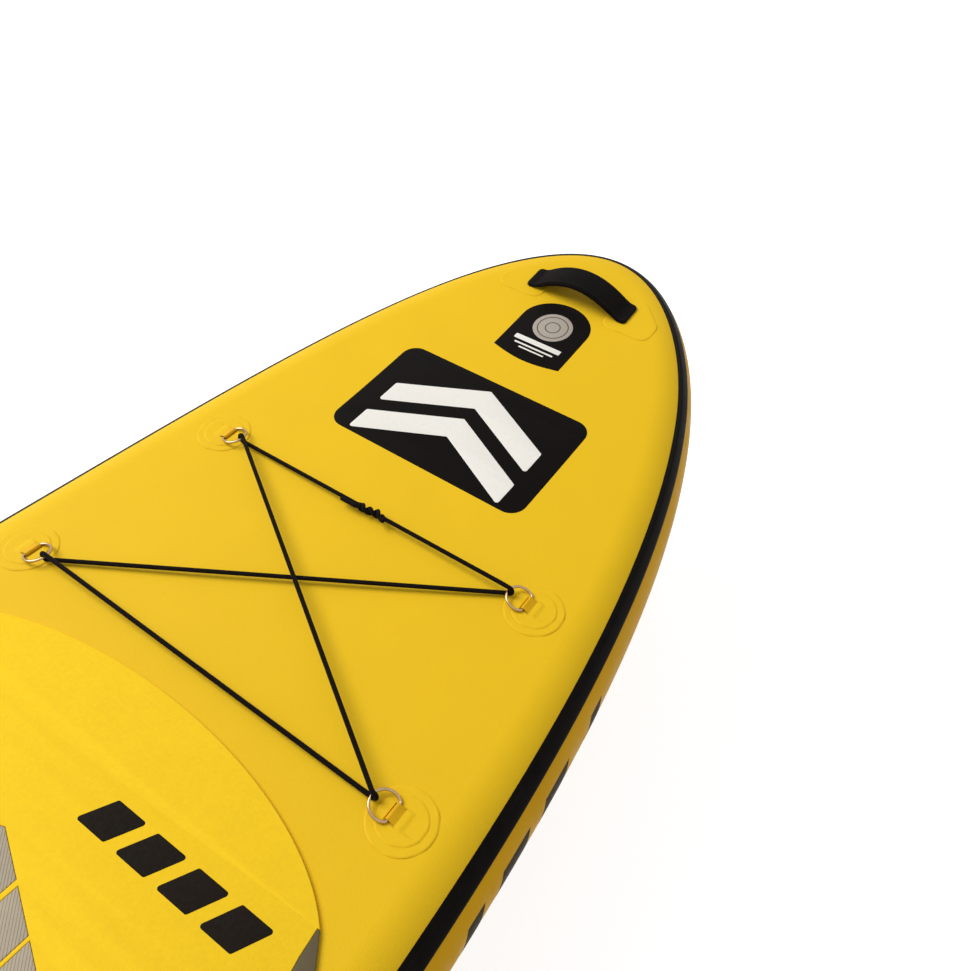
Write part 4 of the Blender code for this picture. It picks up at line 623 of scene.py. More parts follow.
def makeTapes():
    depth = hull["railDepth"] * 1000
    top = [(seamLine + np.degrees(reach / depth), grow / 1000) for reach, grow in tapeProfile]
    under = [(top[k][0], 0.00002) for k in (-1, -4, 6, 3, 0)]  # the face that lies on the skin
    for label, side in sides:
        for level, sign in (("upper", 1), ("lower", -1)):
            profile = [(sign * angle, grow) for angle, grow in top + under]
            which = "_%s_%s" % (level, label)
            makeStrip("seamTape" + which, side, profile, "tape", "seam_tape" + which, 28.0)


deckSkin = makeHull()
makeTapes()
print("hull and seam tapes made")


def arc(x, y, radius, angles):
    return [(x + radius * cos(a), y + radius * sin(a)) for a in angles]


def circleLoop(radius, count, x=0.0, y=0.0):
    return arc(x, y, radius, [fullTurn * k / count for k in range(count)])


def roundedLoop(halfX, halfY, corner, steps, middle=0.0):
    points = []
    for x, y, start in ((1, 1, 0), (-1, 1, 90), (-1, -1, 180), (1, -1, 270)):
        angles = [radians(start + 90.0 * k / steps) for k in range(steps + 1)]
        points += arc(x * (halfX - corner), middle + y * (halfY - corner), corner, angles)
    return points


def roundCorners(points, radius, steps):
    # Rounds the corners of a polygon; radius may be one number or one for each corner.
    radii = radius if isinstance(radius, list) else [radius] * len(points)
    result = []
    for k, r in enumerate(radii):
        here = Vector(points[k])
        before = (Vector(points[k - 1]) - here).normalized()
        after = (Vector(points[(k + 1) % len(points)]) - here).normalized()
        if r <= 0:
            result.append(tuple(here))
            continue
        half = before.angle(after) / 2
        reach = r / tan(half)
        centre = here + (before + after).normalized() * (r / sin(half))
        first, last = here + before * reach - centre, here + after * reach - centre
        start = atan2(first.y, first.x)
        turn = (atan2(last.y, last.x) - start + pi) % fullTurn - pi
        result += arc(*centre, r, [start + turn * i / steps for i in range(steps + 1)])
    return result


def evaluated(holder, spare=()):
    # The mesh that an object's curve or modifiers give. The object goes.
    mesh = bpy.data.meshes.new_from_object(holder.evaluated_get(bpy.context.evaluated_depsgraph_get()))
    for item in (*spare, holder):
        bpy.data.objects.remove(item)
    return mesh


def outlinePlate(loops, thickness, bevel):
    # A flat plate from 2D loops (the inner ones are holes) with its edges rounded over.
    curve = bpy.data.curves.new("outline", "CURVE")
    curve.dimensions = "2D"
    curve.fill_mode = "BOTH"
    curve.extrude = max(thickness / 2 - bevel, 1e-6)
    curve.bevel_depth = bevel
    curve.bevel_resolution = 2
    curve.offset = -bevel
    for loop in loops:
        spline = curve.splines.new("POLY")
        spline.points.add(len(loop) - 1)
        for item, (a, b) in zip(spline.points, loop):
            item.co = (a, b, 0.0, 1.0)
        spline.use_cyclic_u = True
    mesh = evaluated(linked("outline", curve))
    bpy.data.curves.remove(curve)
    return mesh


def cutAcross(bm, axis, step):
    # Cuts the faces at every whole step along one axis, so that they can follow a curve.
    places = [vert.co[axis] / step for vert in bm.verts]
    normal = Matrix.Identity(3)[axis].copy()
    for k in range(floor(min(places)) + 1, ceil(max(places))):
        everything = bm.verts[:] + bm.edges[:] + bm.faces[:]
        bmesh.ops.bisect_plane(bm, geom=everything, dist=1e-7, plane_co=normal * (k * step), plane_no=normal)


def smoothRamp(t):
    t = min(max(t, 0.0), 1.0)
    return t * t * (3 - 2 * t)


plateRim = {"rings": 3, "foot": 0.4}  # how a patch thins at its rim


def rimRings(bm, width):
    # Rings of edges inside the top face's border, so that its rim can slope.
    high = max(vert.co.z for vert in bm.verts)
    top = [face for face in bm.faces if min(vert.co.z for vert in face.verts) > high - 1e-7]
    step = width / plateRim["rings"]
    for _ in range(plateRim["rings"]):
        bmesh.ops.inset_region(bm, faces=top, use_boundary=True, use_even_offset=True, thickness=step)


def outlineGap(loop, points):
    # How far each point lies from a closed outline.
    start = np.array(loop)
    step = np.roll(start, -1, 0) - start
    off = points[:, None] - start[None]
    share = (off * step).sum(2) / (step**2).sum(1)
    return np.linalg.norm(off - step * np.clip(share, 0.0, 1.0)[:, :, None], axis=2).min(1)


def drapedPlate(loops, low, thick, bevel, steps=(0.0, 0.020), centre=(0.0, 0.0), turn=0.0,
                lift=None, rim=0.0, surface=deckTop, side=1, sharp=28.0):
    # A plate laid on the deck (side 1) or under the bottom (side -1), its foot at low over the skin.
    mesh = outlinePlate(loops, thick, bevel)
    bm = opened(mesh)
    bmesh.ops.remove_doubles(bm, verts=bm.verts, dist=1e-6)
    if rim:
        rimRings(bm, rim)
    for axis, step in enumerate(steps):
        if step:
            cutAcross(bm, axis, step)
    cosine, sine = cos(turn), sin(turn)
    gaps = outlineGap(loops[0], np.array([vert.co[:2] for vert in bm.verts])) if rim else []
    for index, vert in enumerate(bm.verts):
        a, b, c = vert.co
        share = c / thick + 0.5
        level = low + thick * share
        if rim:
            level -= thick * share * (1 - plateRim["foot"]) * (1 - smoothRamp(gaps[index] / rim))
        if lift:
            level += share * lift(a, b)
        x = centre[0] + a * cosine - b * sine
        y = centre[1] + a * sine + b * cosine
        vert.co = (x, y, surface(x, y) + side * level)
    if side < 0:
        bmesh.ops.reverse_faces(bm, faces=bm.faces)
    outward(bm)
    return closed(bm, sharp, mesh)


def tangentsOf(path):
    tangents = np.gradient(path, axis=0)
    return tangents / np.linalg.norm(tangents, axis=1)[:, None]


def tubeFrames(path, loop=False):
    # Tangents and a spoke carried along without twist.
    path = np.asarray(path, float)
    tangents = tangentsOf(np.concatenate([path[-1:], path, path[:1]]))[1:-1] if loop else tangentsOf(path)
    spoke = np.cross(tangents[0], (0.0, 0.0, 1.0))
    if np.linalg.norm(spoke) < 0.2:
        spoke = np.cross(tangents[0], (0.0, 1.0, 0.0))
    spokes = []
    for tangent in tangents:
        spoke = spoke - tangent * spoke.dot(tangent)
        spoke /= np.linalg.norm(spoke)
        spokes.append(spoke)
    return path, tangents, np.array(spokes)


def tubeRings(path, tangents, spokes, radius, count):
    across = np.cross(tangents, spokes)
    angles = [fullTurn * k / count for k in range(count)]
    return np.stack([path + radius * (spokes * cos(a) + across * sin(a)) for a in angles], 1)


def tubeMesh(path, radius, count, loop=False):
    path, tangents, spokes = tubeFrames(path, loop)
    if loop:
        # The carried spoke comes back turned; spread that over the loop so the seam meets.
        end = spokes[-1] - tangents[0] * spokes[-1].dot(tangents[0])
        off = atan2(np.cross(tangents[0], spokes[0]).dot(end), spokes[0].dot(end))
        back = -off * np.arange(len(path))[:, None] / len(path)
        spokes = spokes * np.cos(back) + np.cross(tangents, spokes) * np.sin(back)
    rows = tubeRings(path, tangents, spokes, radius, count)
    if loop:
        rows = np.concatenate([rows, rows[:1]])
    return loftMesh(rows, caps=not loop, weld=1e-7 if loop else 0, sharp=50.0)


ringSet = {
    "wire": 0.0018, "bow": 0.0175, "reach": 0.0290, "corner": 0.0030, "tilt": 12.8,
    "strap": 0.0008, "strapHalfWidth": 0.0108, "strapTail": 0.0170, "strapRamp": 0.0090, "clearance": 0.0003,
    "barHeight": 0.0043, "patchOffset": 0.012, "patchRadius": 0.040, "topRadius": 0.0295,
    "patch": 0.0011, "topPatch": 0.0010, "gap": 0.00015, "segments": 96, "rim": 0.0018,
    "ripple": 0.00024, "topRipple": 0.00014, "rippleWidth": 0.0035, "rise": 0.0013,
    "bevel": 0.0003, "topBevel": 0.00025, "cut": 0.0035, "topCut": 0.0022, "sunk": 0.00005,
    "hole": {"aft": 0.0006, "fore": 0.0046, "side": 0.0005},
    "ramp": {"lead": 0.0045, "run": 0.0055, "side": 0.0042, "sideRun": 0.0046},
}
ringStems = [end + "_" + side for end in ("bungee_front", "bungee_rear") for side, _ in sides] + ["leash"]


def ringBars():
    # The flat axes under each ring (x the way it points, y along its bar) and those of the tilted ring.
    flats, bars = {}, {}
    joints = {joint["name"]: joint for joint in frame["joints"]}
    near = 0.0005
    for stem in ringStems:
        joint = joints[stem + "_ring_hinge"]
        at, bar = Vector(joint["pos_m"]), -Vector(joint["axis"]).normalized()
        slope = (deckTop(0.0, at.y + near) - deckTop(0.0, at.y - near)) / (2 * near)
        normal = Vector((0.0, -slope, 1.0)).normalized()
        normal = (normal - bar * normal.dot(bar)).normalized()
        flat = Matrix((bar.cross(normal), bar, normal)).transposed().to_4x4()
        flat.translation = at
        flats[stem] = flat
        bars[stem] = flat @ Matrix.Rotation(-radians(ringSet["tilt"]), 4, "Y")
    return flats, bars


def ringPath():
    # A straight bar, two tight corners, and a bow of well over half a circle.
    corner, bow = ringSet["corner"], ringSet["bow"]
    centre = ringSet["reach"] - bow
    cornerY = sqrt((bow - corner) ** 2 - (corner - centre) ** 2)
    meet = atan2(cornerY, corner - centre)
    points = [(0.0, y) for y in np.linspace(-cornerY, cornerY, 14)]
    for x, y, radius, start, end, steps in (
        (corner, cornerY, corner, pi, meet, 9), (centre, 0.0, bow, meet, -meet, 45),
        (corner, -cornerY, corner, -meet, -pi, 9),
    ):
        points += arc(x, y, radius, np.linspace(start, end, steps)[1:])
    return points[:-1]


def strapPath():
    # The webbing's middle line in side view: along the base, round the bar, down the ramp, under the patch.
    s = ringSet
    reach = s["wire"] + s["clearance"] + s["strap"] / 2
    low = s["barHeight"] - reach
    rise = s["barHeight"] - (low + s["strap"] / 2)
    lean = atan2(rise, s["strapRamp"]) + asin(min(1.0, reach / hypot(s["strapRamp"], rise)))
    points = [(x, low) for x in (-s["strapTail"], -0.0120, -0.0090, -0.0060, -0.0030)]
    points += arc(0.0, s["barHeight"], reach, [-pi / 2 + (lean + pi) * k / 24 for k in range(25)])
    foot = low + s["strap"] + 0.00005
    first, last = Vector(points[-1]), Vector((-s["strapRamp"] - 0.0004, foot))
    points += [tuple(first.lerp(last, share)) for share in (0.25, 0.5, 0.75)]
    points += [(last.x - 0.0003, foot + 0.0002), (last.x - 0.0012, foot)]
    points += [(-0.0130, foot), (-s["strapTail"] + 0.001, foot)]
    return points


def strapMesh(place):
    # The woven band swept along its side view path, with soft selvedges.
    path = np.array(strapPath())
    half = ringSet["strap"] / 2
    edge = arc(ringSet["strapHalfWidth"] - half, 0.0, half, [radians(-90 + 45 * k) for k in range(5)])
    section = [(side * w, side * h) for side in (1, -1) for w, h in edge]
    rows = []
    for (x, z), (tx, tz) in zip(path, tangentsOf(path)):
        rows.append([place @ Vector((x - tz * h, w, z + tx * h)) for w, h in section])
    return loftMesh(rows, weld=0, sharp=50.0)


def patchLift(ripple, seed, radius, overStrap=False):
    # Height of a bonded patch over its flat: puckers at the rim, and a rise over the strap's tail.
    s, ramp = ringSet, ringSet["ramp"]

    def lift(a, b):
        angle = atan2(b, a)
        rim = exp(-((radius - hypot(a, b)) / s["rippleWidth"]) ** 2)
        wave = sin(7 * angle + seed) + 0.7 * sin(12 * angle + 2.1 * seed)
        wave += 0.5 * sin(3 * angle - seed)
        rise = s["rise"] if overStrap else 0.0
        along = smoothRamp((a - s["patchOffset"] + s["strapTail"] + ramp["lead"]) / ramp["run"])
        across = smoothRamp((s["strapHalfWidth"] + ramp["side"] - abs(b)) / ramp["sideRun"])
        return ripple * rim * wave + rise * along * across
    return lift


def makeRingSets(flats, bars):
    s, room = ringSet, ringSet["hole"]
    near, far = s["patchOffset"] - s["strapRamp"] - room["aft"], s["patchOffset"] + room["fore"]
    half = s["strapHalfWidth"] + room["side"]
    hole = [(near, -half), (near, half), (far, half), (far, -half)]
    baseLoop, topLoop = circleLoop(s["patchRadius"], s["segments"]), circleLoop(s["topRadius"], s["segments"])
    for index, stem in enumerate(ringStems):
        flat, bar = flats[stem], bars[stem]
        ahead = flat.to_3x3() @ Vector((1.0, 0.0, 0.0))
        laid = {
            "turn": atan2(ahead.y, ahead.x), "centre": (flat.translation - ahead * s["patchOffset"])[:2],
            "rim": s["rim"],
        }
        lift = patchLift(s["ripple"], index * 1.7, s["patchRadius"])
        base = drapedPlate([baseLoop], s["gap"], s["patch"], s["bevel"], (s["cut"],) * 2, lift=lift, **laid)
        addObject(stem + "_patchBase", base, "deck", stem + "_patch_base")
        low = s["gap"] + s["patch"] - s["sunk"]
        lift = patchLift(s["topRipple"], index * 2.3 + 1, s["topRadius"], True)
        top = drapedPlate([topLoop, hole], low, s["topPatch"], s["topBevel"], (s["topCut"],) * 2,
                          lift=lift, **laid)
        addObject(stem + "_patchTop", top, "deck", stem + "_patch_top")
        strap = strapMesh(flat @ Matrix.Translation((0.0, 0.0, -s["barHeight"])))
        addObject(stem + "_strapLoop", strap, "strap", stem + "_strap")
        path = [bar @ Vector((x, y, 0.0)) for x, y in ringPath()]
        ring = tubeMesh(path, s["wire"], 18, loop=True)
        addObject(stem + "_wireRing", ring, "steel", stem + "_ring", stem + "_ring")


lacing = {
    "radius": 0.0030, "clearance": 0.0004, "lead": 0.016, "sides": 16, "step": 0.008, "bend": 0.036,
    "knotCentre": 0.0085, "knotHalf": 0.018, "ease": 0.007, "turns": 1.5, "apart": 0.0064, "tailSide": 165.0,
    "tail": 0.022, "stub": 0.002, "lump": 0.0020, "slack": 0.16, "hookSteps": 16, "knotSteps": 95,
}


def hookPoints(bar, towardFirst, towardLast, aboveFirst):
    # The cord's half turn round a ring's bow, with a short lead to each neighbour.
    hook = ringSet["wire"] + lacing["radius"] + lacing["clearance"]
    apex = bar @ Vector((ringSet["reach"], 0.0, 0.0))
    out = bar.to_3x3() @ Vector((1.0, 0.0, 0.0))
    out.z = 0.0
    out.normalize()
    top = upward * hook * (1.0 if aboveFirst else -1.0)
    points = [apex + top + (towardFirst - apex).normalized() * lacing["lead"]]
    for k in range(lacing["hookSteps"] + 1):
        angle = pi * k / lacing["hookSteps"]
        points.append(apex + top * cos(angle) - out * hook * sin(angle))
    return points + [apex - top + (towardLast - apex).normalized() * lacing["lead"]]


def knotStrands(start, finish):
    # The two ends are twisted round each other. Each leaves the twist as the other's tail.
    c = lacing
    along = (finish - start).normalized()
    side = Vector((0.0, 1.0, 0.0))
    side = (side - along * side.dot(along)).normalized()
    up = along.cross(side)
    middle = start + along * ((c["knotCentre"] - start.x) / along.x)
    body = c["knotHalf"] + c["ease"]

    def place(s, sign):
        turned = min(max(s / c["knotHalf"] / 2 + 0.5, 0.0), 1.0)
        angle = radians(c["tailSide"]) + fullTurn * c["turns"] * turned
        share = 1 - smoothRamp((s + body) / c["ease"]) / 2 - smoothRamp((s - c["knotHalf"]) / c["ease"]) / 2
        spoke = side * cos(angle) + up * sin(angle)
        swell = sin(fullTurn * turned) ** 2
        wide = c["apart"] * (1 + c["slack"] * swell) * (share if sign > 0 else share - 1)
        return middle + along * s + spoke * wide + side * copysign(c["lump"] * swell, s)

    samples = np.linspace(-body, body, c["knotSteps"] + 1)
    fromStart = [place(s, -1) for s in samples] + [place(body + c["stub"], -1)]
    tail = [place(-body - c["tail"] * share, 1) for share in np.linspace(1.0, 0.125, 8)]
    return fromStart, tail + [place(s, 1) for s in samples]


def roundEnd(edge, centre, way):
    # The rings of a melted, rounded end beyond the last ring of a tube, in order outward.
    rings = []
    for share in (0.35, 0.7, 0.92):
        tip = centre + way * lacing["radius"] * 0.6 * share
        rings.append(tip + (edge - centre) * sqrt(1 - share * share))
    return rings


def makeLacing(bars):
    # One elastic cord through the four rings, in four tubes that meet at the middle of the long runs.
    c = lacing
    apex = {stem: bars[stem] @ Vector((ringSet["reach"], 0.0, 0.0)) for stem in ringStems[:4]}
    frontPort, frontStarboard, rearPort, rearStarboard = ringStems[:4]
    hook = upward * (ringSet["wire"] + c["radius"] + c["clearance"])
    fromStart, fromFinish = knotStrands(apex[frontPort] - hook, apex[frontStarboard] + hook)
    route = (
        (frontStarboard, frontPort, rearPort, True), (rearPort, frontStarboard, rearStarboard, False),
        (rearStarboard, rearPort, frontPort, False), (frontPort, rearStarboard, frontStarboard, True),
    )
    path = list(fromFinish)
    splits = []
    for index, (stem, before, after, above) in enumerate(route):
        turn = hookPoints(bars[stem], apex[before], apex[after], above)
        if index:
            splits.append((path[-1] + turn[0]) / 2)
        path += turn
    path += fromStart
    dense = [path[0]]
    for a, b in zip(path, path[1:]):
        pieces = max(1, ceil((b - a).length / c["step"]))
        dense += [a.lerp(b, k / pieces) for k in range(1, pieces + 1)]
    line, tangents, spokes = tubeFrames(dense)
    rows = tubeRings(line, tangents, spokes, c["radius"], c["sides"])
    travel = travelOf(line)
    print("cord length %.3f m" % travel[-1])
    cuts = [int(np.argmin(np.linalg.norm(line - np.array(at), axis=1))) for at in splits]
    cuts = [0] + cuts + [len(line) - 1]
    for (stem, *_), first, last in zip(route, cuts, cuts[1:]):
        part = list(rows[first:last + 1])
        if first == 0:
            part = roundEnd(part[0], line[0], -tangents[0])[::-1] + part
        if last == len(line) - 1:
            part += roundEnd(part[-1], line[-1], tangents[-1])
        mesh = loftMesh(part, weld=0, sharp=60.0)
        for item in mesh.uv_layers[0].data:
            item.uv[1] += travel[first]
        piece = addObject("elasticCord_" + stem, mesh, "cord", body=None)
        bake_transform(piece)
        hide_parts("bungee_cord")


grips = {
    "nose": {
        "centre": (0.0, 1.438), "across": True, "length": 0.194, "foot": 0.013, "rise": 0.0315, "power": 1.10,
        "strapWidth": 0.046, "sleeveWidth": 0.0505, "sleeveMargin": 0.004, "webbing": 0.0025, "low": 0.00295,
        "hem": 0.0014, "hemCorner": 0.0075, "middle": 0.0098, "ends": 0.0060, "patch": (0.088, 0.086),
        "overhang": 0.053, "cut": 0.042, "wrapped": True, "nodes": ("port", "starboard"),
        "seamReach": 0.0930, "footInset": 0.0026, "footLift": 0.0017,
    },
    "carry": {
        "centre": (0.0, -0.030), "across": False, "length": 0.270, "foot": 0.045, "rise": 0.034,
        "power": 1.30, "strapWidth": 0.038, "sleeveWidth": 0.046, "sleeveMargin": 0.004, "webbing": 0.0025,
        "low": 0.00295, "middle": 0.0106, "ends": 0.0062, "patch": (0.090, 0.070), "overhang": 0.012,
        "cut": 0.0, "wrapped": False, "nodes": ("aft", "fore"), "seamReach": 0.08342, "footInset": 0.0030,
        "footLift": 0.00005,
    },
}
gripPatch = {
    "thickness": 0.0011, "corner": 0.018, "cornerSteps": 10, "low": 0.00015, "bevel": 0.0003, "cut": 0.004,
    "rim": 0.0018, "ripple": 0.00024, "fade": 9.0, "waves": (140.0, 230.0), "second": 0.6,
}
# A sleeve's ends: a plain one pinches in; a wrapped one swells over its foot and closes in a hem.
sleeveEnd = {
    "pinch": 0.28, "pinchFrom": 0.965, "footLead": 0.010, "footRun": 0.014, "overWeb": 0.0016,
    "underWeb": 0.0004, "swell": 0.0013, "swellRun": 0.0065, "lip": 0.0009, "lipRun": 0.0016, "crown": 0.0006,
}
stitch = {
    "pitch": 0.0042, "radius": 0.00032, "sides": 6, "flatness": 1.25, "inset": 0.0048, "lift": 0.00012,
    "start": 0.12, "ahead": 0.16, "footNear": 0.0015, "footFar": 0.004,
    "hump": ((0.0, 0.25, -0.6), (0.10, 0.8, 0.0), (0.38, 1.0, 0.5), (0.66, 0.8, 0.0), (0.76, 0.25, -0.6)),
}


def gripSeat(g):
    seat = seatAt(*g["centre"], (g["sleeveWidth"] if g["across"] else g["length"]) / 2, deckTop)
    return seat if g["across"] else seat @ Matrix.Rotation(pi / 2, 4, "Z")


def gripArch(g, s):
    t = min(abs(s) / (g["length"] / 2 - g["foot"]), 1.0)
    return g["rise"] * (1 - t * t) ** g["power"]


def gripFrame(g, s):
    # Height and slope of the handle's middle line at s along it.
    near = 2e-4
    slope = (gripArch(g, s + near) - gripArch(g, s - near)) / (2 * near)
    return g["low"] + gripArch(g, s), atan(slope)


def gripRow(g, seat, s, section, shift=0.0):
    # A section's points, square to the middle line at s.
    lift, tilt = gripFrame(g, s)
    points = [(a, b + shift) for a, b in section]
    return [seat @ Vector((s - b * sin(tilt), a, lift + b * cos(tilt))) for a, b in points]


def pillowSection(width, thick, corner, steps, across, crown=0.0):
    # Rounded section with a slightly crowned top and bottom.
    halfW, halfT = width / 2, thick / 2
    flat = max(halfT - corner, 0.0)
    points = []
    for side in (1, -1):
        for k in range(2 * steps + 1):
            angle = radians(-90 + 90 * k / steps)
            shift = flat * ((k > steps) - (k < steps))
            [(w, h)] = arc(halfW - corner, shift, corner, [angle])
            points.append((side * w, side * h))
        for w in np.linspace(halfW - corner, corner - halfW, across + 2)[1:-1]:
            points.append((side * w, side * (halfT + crown * (1 - (w / (halfW - corner)) ** 2))))
    return points


def sleeveForm(g, s, extent):
    # Width, top and bottom of the sleeve about the handle's middle line; a wrapped one runs on over the feet.
    e = sleeveEnd
    t = min(abs(s) / extent, 1.0)
    width, half = g["sleeveWidth"], (g["ends"] + (g["middle"] - g["ends"]) * (1 - t**4)) / 2
    if not g["wrapped"]:
        half *= 1 - e["pinch"] * max(0.0, (t - e["pinchFrom"]) / (1 - e["pinchFrom"])) ** 2
        return width, half, -half
    foot = smoothRamp((abs(s) - extent + e["footLead"]) / e["footRun"])
    top = half + (g["webbing"] / 2 + e["overWeb"] - half) * foot
    top += e["swell"] * exp(-((abs(s) - extent - g["sleeveMargin"]) / e["swellRun"]) ** 2)
    bottom = -half + (half - g["webbing"] / 2 - e["underWeb"]) * foot
    end = g["length"] / 2 + g["hem"]
    past = min(max(abs(s) - end + g["hemCorner"], 0.0) / g["hemCorner"], 1.0)
    width -= 2 * g["hemCorner"] * (1 - sqrt(1 - past * past))
    top -= e["lip"] * smoothRamp((abs(s) - end + e["lipRun"]) / e["lipRun"])
    return width, top, bottom


def makeSleeve(g, seat, extent):
    if g["wrapped"]:
        end = g["length"] / 2 + g["hem"]
        tips = end - g["hemCorner"] * (1 - np.sin(np.linspace(0.0, pi / 2, 9)))
        turns = np.concatenate([-tips[::-1], np.linspace(-tips[0], tips[0], 91)[1:-1], tips])
    else:
        turns = np.linspace(-1.0, 1.0, 81) * extent
    bore = pillowSection(g["strapWidth"] + 0.0006, g["webbing"] + 0.0003, 0.0012, 6, 11)
    outer, inner = [], []
    for s in turns:
        width, top, bottom = sleeveForm(g, s, extent)
        thick = top - bottom
        crown = sleeveEnd["crown"] * (1 - min(abs(s) / extent, 1.0) ** 6)
        section = pillowSection(width, thick, thick * 0.46, 6, 11, crown)
        outer.append(gripRow(g, seat, s, section, (top + bottom) / 2))
        if abs(s) < g["length"] / 2 + 0.0003 or not g["wrapped"]:
            inner.append(gripRow(g, seat, s, bore))
    if not g["wrapped"]:
        return loftMesh(outer + inner[::-1] + outer[:1], caps=False, weld=1e-7, sharp=50.0)
    # A closed case with a hollow for the webbing.
    mesh, hollow = (loftMesh(rows, weld=0, sharp=50.0) for rows in (outer, inner))
    hollow.flip_normals()
    bm = opened(mesh)
    bm.from_mesh(hollow)
    bm.to_mesh(mesh)
    bm.free()
    bpy.data.meshes.remove(hollow)
    return mesh


def stitchRuns(g, seat, extent):
    # Two seams along the sleeve, and a box of stitches on each foot, as (point, normal) pairs.
    turn = seat.to_3x3()
    runs = []
    for edge in (-1, 1):
        run = []
        for s in np.linspace(-1.0, 1.0, 90) * g["seamReach"]:
            lift, tilt = gripFrame(g, s)
            up = Vector((-sin(tilt), 0.0, cos(tilt)))
            point = Vector((s, edge * (g["sleeveWidth"] / 2 - stitch["inset"]), lift))
            point += up * (sleeveForm(g, s, extent)[1] + stitch["lift"])
            run.append((seat @ point, turn @ up))
        runs.append(run)
    top = g["low"] + g["webbing"] / 2 + g["footLift"]
    wide = g["strapWidth"] / 2 - g["footInset"]
    for end in (-1, 1):
        near = end * (g["length"] / 2 - g["foot"] + stitch["footNear"])
        far = end * (g["length"] / 2 - stitch["footFar"])
        corners = [(near, -wide), (far, -wide), (far, wide), (near, wide), (near, -wide)]
        if not g["wrapped"]:
            corners += [(far, wide), (far, -wide), (near, wide)]
        runs.append([(seat @ Vector((a, b, top)), turn @ upward) for a, b in corners])
    return runs


def stitchMesh(runs):
    # Lock stitches: short humps of thread along each run.
    bm = bmesh.new()
    radius, pitch, count = stitch["radius"], stitch["pitch"], stitch["sides"]
    for run in runs:
        points, normals = zip(*run)
        travel = travelOf(points)

        def at(d):
            k = min(max(int(np.searchsorted(travel, d)) - 1, 0), len(points) - 2)
            share = (min(d, travel[-1]) - travel[k]) / max(travel[k + 1] - travel[k], 1e-9)
            return points[k].lerp(points[k + 1], share), normals[k].lerp(normals[k + 1], share).normalized()

        for index in range(int(travel[-1] / pitch)):
            rings = []
            for share, size, dip in stitch["hump"]:
                here, normal = at((index + share + stitch["start"]) * pitch)
                ahead, _ = at((index + share + stitch["ahead"]) * pitch)
                way = (ahead - here).normalized() if (ahead - here).length > 1e-9 else Vector((1.0, 0.0, 0.0))
                across = way.cross(normal).normalized() * stitch["flatness"]
                spokes = [across * x + normal * y for x, y in circleLoop(1.0, count)]
                centre = here + normal * radius * dip
                rings.append([bm.verts.new(centre + spoke * radius * size) for spoke in spokes])
            for row, following in zip(rings, rings[1:]):
                for j in range(count):
                    k = (j + 1) % count
                    bm.faces.new((row[j], following[j], following[k], row[k]))
            bm.faces.new(rings[0][::-1])
            bm.faces.new(rings[-1])
    bmesh.ops.recalc_face_normals(bm, faces=bm.faces)
    return closed(bm, 60.0)


def makeGripPatches(name, g):
    # The two bonded patches that hold the handle's feet, puckered at their rims.
    p = gripPatch
    sizeX, sizeY = g["patch"]
    reach = g["length"] / 2 + g["overhang"]
    middle = g["centre"][1]
    for label, side in zip(g["nodes"], (-1, 1)):
        at = (0.0, middle + side * (reach - sizeY / 2))
        if g["across"]:
            at = (side * (reach - sizeX / 2), middle)
        outer, fore = side * sizeX / 2, sizeY / 2
        corners = [(-outer, -fore), (outer, -fore), (outer, fore), (-outer, fore)]
        if g["cut"]:
            corners[2:3] = [(outer, fore - g["cut"]), (outer - side * g["cut"], fore)]
        loop = roundCorners(corners, p["corner"], p["cornerSteps"])

        def ripple(a, b, phase=side * 2.0):
            rim = max(abs(a) / (sizeX / 2), abs(b) / (sizeY / 2))
            near = exp(-((1 - rim) * p["fade"]) ** 2)
            first, second = sin(p["waves"][0] * (a + b) + phase), sin(p["waves"][1] * (a - b))
            return p["ripple"] * near * (first + p["second"] * second)
        mesh = drapedPlate([loop], p["low"], p["thickness"], p["bevel"], (p["cut"],) * 2, at,
                           lift=ripple, rim=p["rim"], surface=shoulder)
        addObject("%sPatch_%s" % (name, label), mesh, "deck", "%s_handle_patch_%s" % (name, label))


def makeGrip(name):
    g = grips[name]
    seat = gripSeat(g)
    half = g["length"] / 2
    halfRun = half - g["foot"]
    extent = halfRun - g["sleeveMargin"]
    foot = np.linspace(halfRun, half, 8)[1:]
    samples = np.concatenate([-foot[::-1], np.linspace(-halfRun, halfRun, 61), foot])
    web = pillowSection(g["strapWidth"], g["webbing"], 0.0009, 3, 7)
    strap = loftMesh([gripRow(g, seat, s, web) for s in samples], weld=0, sharp=50.0)
    addObject(name + "Webbing", strap, "webbing", name + "_handle_strap")
    sleeve = addObject(name + "Sleeve", makeSleeve(g, seat, extent), "neoprene", name + "_handle_grip")
    addObject(name + "Stitching", stitchMesh(stitchRuns(g, seat, extent)), "thread")
    makeGripPatches(name, g)


# Printed work on the deck: plain bars, chevrons and discs.
deckPrint = {
    "low": 0.00002, "thickness": 0.00012, "over": 0.00014, "bevel": 0.00004, "step": 0.016,
    "panel": {"centre": 1.076, "half": (0.175, 0.108), "corner": 0.026},
    "chevron": {"tips": (1.163, 1.089), "drop": 0.069, "half": 0.138, "stroke": 0.046, "corner": 0.004},
    "badge": {
        "halfWidth": 0.063, "top": 1.407, "foot": 1.262, "shoulder": 1.352, "bow": 0.010,
        "discAt": 1.346, "discRadius": 0.034, "rings": ((0.0270, 0.0252), (0.0135, 0.0117)),
        "bars": ((0.044, 1.2985, 0.0105), (0.037, 1.2855, 0.0035), (0.024, 1.2775, 0.0030)),
    },
}


def printPlate(name, loops, finish, level=0):
    p = deckPrint
    mesh = drapedPlate(loops, p["low"] + level * p["over"], p["thickness"], p["bevel"], (0.0, p["step"]))
    addObject(name, mesh, finish)


